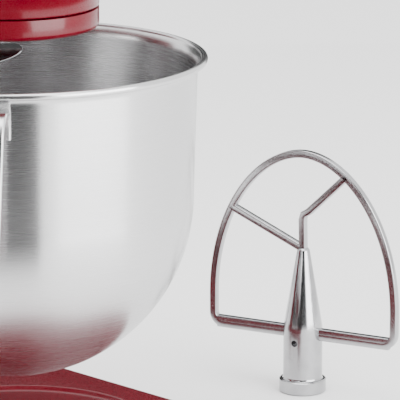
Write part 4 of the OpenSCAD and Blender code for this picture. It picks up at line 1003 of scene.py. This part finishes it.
@dataclass
class SmallParts:
    """The CAD nodes whose own shape is kept, with rounded edges and a finish."""

    bevels: dict[str, float] = field(default_factory=lambda: {
        "lift_yoke": 1.2, "lift_lever": 0.8, "lever_grip": 0.5, "rubber_feet": 0.4, "hub_socket": 0.4,
        "hub_cap": 0.4, "hub_thumb_screw": 0.5, "speed_knob": 0.4, "brush_caps": 0.3, "control_plate": 0.2,
        "bowl_brackets": 0.4, "slider_block": 0.6, "cord_gland": 0.4})
    plain: tuple[str, ...] = ("worm_wheel", "armature_shaft", "shaft_spring", "center_gear", "planet_pinion",
                              "ring_gear", "drive_pinion", "center_bevel_gear", "hub_bevel_gear")

    def build(self, lib: Library) -> None:
        """Refines every node that has no piece of its own yet."""
        for node in sorted(set(lib.slots) - lib.done):
            width = 0.0 if node in self.plain else self.bevels.get(node, 0.2)
            lib.refine(node, width)


# ---------------------------------------------------------------- studio


@dataclass
class Studio:
    """Camera, floor and light."""

    distance: float = 2.0
    height: float = 0.652
    azimuth: float = -40.0
    yaw: float = 3.23
    pitch: float = 13.46
    lens: float = 307.3

    def axes(self) -> tuple[Vector, Vector]:
        """Directions to the viewer's right and away from the viewer."""
        a = math.radians(self.azimuth)
        return Vector((math.cos(a), math.sin(a), 0)), Vector((-math.sin(a), math.cos(a), 0))

    def camera(self) -> None:
        """Sets the camera."""
        right, away = self.axes()
        psi, p = math.radians(self.yaw), math.radians(self.pitch)
        x = right * math.cos(psi) - away * math.sin(psi)
        flat = right * math.sin(psi) + away * math.cos(psi)
        ahead = flat * math.cos(p) - Vector((0, 0, math.sin(p)))
        up = x.cross(ahead)
        cam = bpy.data.cameras.new("Camera")
        cam.lens, cam.sensor_width, cam.clip_end = self.lens, 36, 30
        obj = link(bpy.data.objects.new("Camera", cam))
        obj.matrix_world = Matrix((x, up, -ahead)).transposed().to_4x4()
        obj.location = Vector((0, 0, self.height)) - away * self.distance
        bpy.context.scene.camera = obj

    def area(self, name: str, bearing: float, up: float, far: float, size: Flat, power: float) -> None:
        """A rectangular light that faces the bowl.

        Args:
            name: the light's name.
            bearing: degrees to the right of the camera, seen from the bowl.
            up: degrees above the worktop.
            far: distance from the bowl in metres.
            size: width and height in metres.
            power: power in watts.
        """
        lamp = bpy.data.lights.new(name, "AREA")
        lamp.shape, lamp.size, lamp.size_y, lamp.energy = "RECTANGLE", size[0], size[1], power
        obj = link(bpy.data.objects.new(name, lamp))
        obj.location = self.spot(bearing, up, far)
        obj.rotation_euler = (obj.location - Vector((0, 0, 0.2))).to_track_quat("Z", "Y").to_euler()

    def spot(self, bearing: float, up: float, far: float) -> Vector:
        """A place seen from the bowl."""
        right, away = self.axes()
        b, e = math.radians(bearing), math.radians(up)
        flat = right * math.sin(b) - away * math.cos(b)
        return flat * math.cos(e) * far + Vector((0, 0, 0.2 + math.sin(e) * far))

    def card(self, name: str, bearing: float, far: float, size: Flat, shade: float) -> None:
        """An upright card on the floor that only shows in reflections.

        Args:
            name: the card's name.
            bearing: degrees to the right of the camera, seen from the bowl.
            far: distance from the bowl in metres.
            size: width and height in metres.
            shade: its grey.
        """
        n = Nodes(name)
        n.set(Roughness=1.0)
        n.shader.inputs["Base Color"].default_value = (shade, shade, shade, 1)
        w, h = size
        place = self.spot(bearing, 0, far)
        turn = Matrix.Rotation(math.atan2(place.y, place.x) - math.pi / 2, 4, "Z")
        corners = [turn @ Vector(c) + Vector((place.x, place.y, 0))
                   for c in ((-w / 2, 0, 0.001), (w / 2, 0, 0.001), (w / 2, 0, h), (-w / 2, 0, h))]
        mesh = bpy.data.meshes.new(name)
        mesh.from_pydata([tuple(c) for c in corners], [], [(0, 1, 2, 3)])
        mesh.materials.append(n.material)
        obj = link(bpy.data.objects.new(name, mesh))
        obj.visible_camera = obj.visible_shadow = obj.visible_diffuse = obj.visible_transmission = False

    def build(self) -> None:
        """Makes the camera, the floor, the light and the reflections."""
        self.camera()
        n = Nodes("floor_paint")
        n.set(Roughness=0.75)
        n.shader.inputs["Base Color"].default_value = (0.9, 0.9, 0.9, 1)
        mesh = bpy.data.meshes.new("floor")
        s = 9.0
        mesh.from_pydata([(-s, -s, 0), (s, -s, 0), (s, s, 0), (-s, s, 0)], [], [(0, 1, 2, 3)])
        mesh.materials.append(n.material)
        floor = link(bpy.data.objects.new("floor", mesh))
        floor.location.z = -0.0002
        world = bpy.data.worlds.new("World")
        world.use_nodes = True
        world.node_tree.nodes["Background"].inputs["Color"].default_value = (1, 1, 1, 1)
        world.node_tree.nodes["Background"].inputs["Strength"].default_value = 2.0
        bpy.context.scene.world = world
        self.area("key", 50, 16, 2.2, (1.9, 1.6), 80)
        self.area("top", -10, 80, 2.0, (1.8, 1.8), 40)
        self.area("left", -75, 25, 2.4, (1.2, 1.5), 12)
        self.card("flag_near", -4.7, 0.35, (0.245, 0.8), 0.01)
        self.card("flag_front", 6, 2.6, (1.5, 2.6), 0.02)
        self.card("flag_left", -40, 2.4, (3.4, 2.6), 0.02)
        self.card("flag_back", 180, 1.4, (1.5, 0.9), 0.02)


# ---------------------------------------------------------------- main


def main() -> None:
    """Builds every sub-assembly in order."""
    logging.basicConfig(level=logging.INFO, format="%(name)s: %(message)s")
    for obj in list(bpy.data.objects):
        bpy.data.objects.remove(obj)
    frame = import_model()
    studio = Studio()
    studio.build()
    lib = Library(frame)
    for part in (Stand(), Head(), Bowl(), Planetary(), DoughHook(), FlatBeater(), SmallParts()):
        part.build(lib)
        log.info("%s built, %d nodes done", type(part).__name__, len(lib.done))
    bpy.context.view_layer.update()


if __name__ == "__main__":
    main()
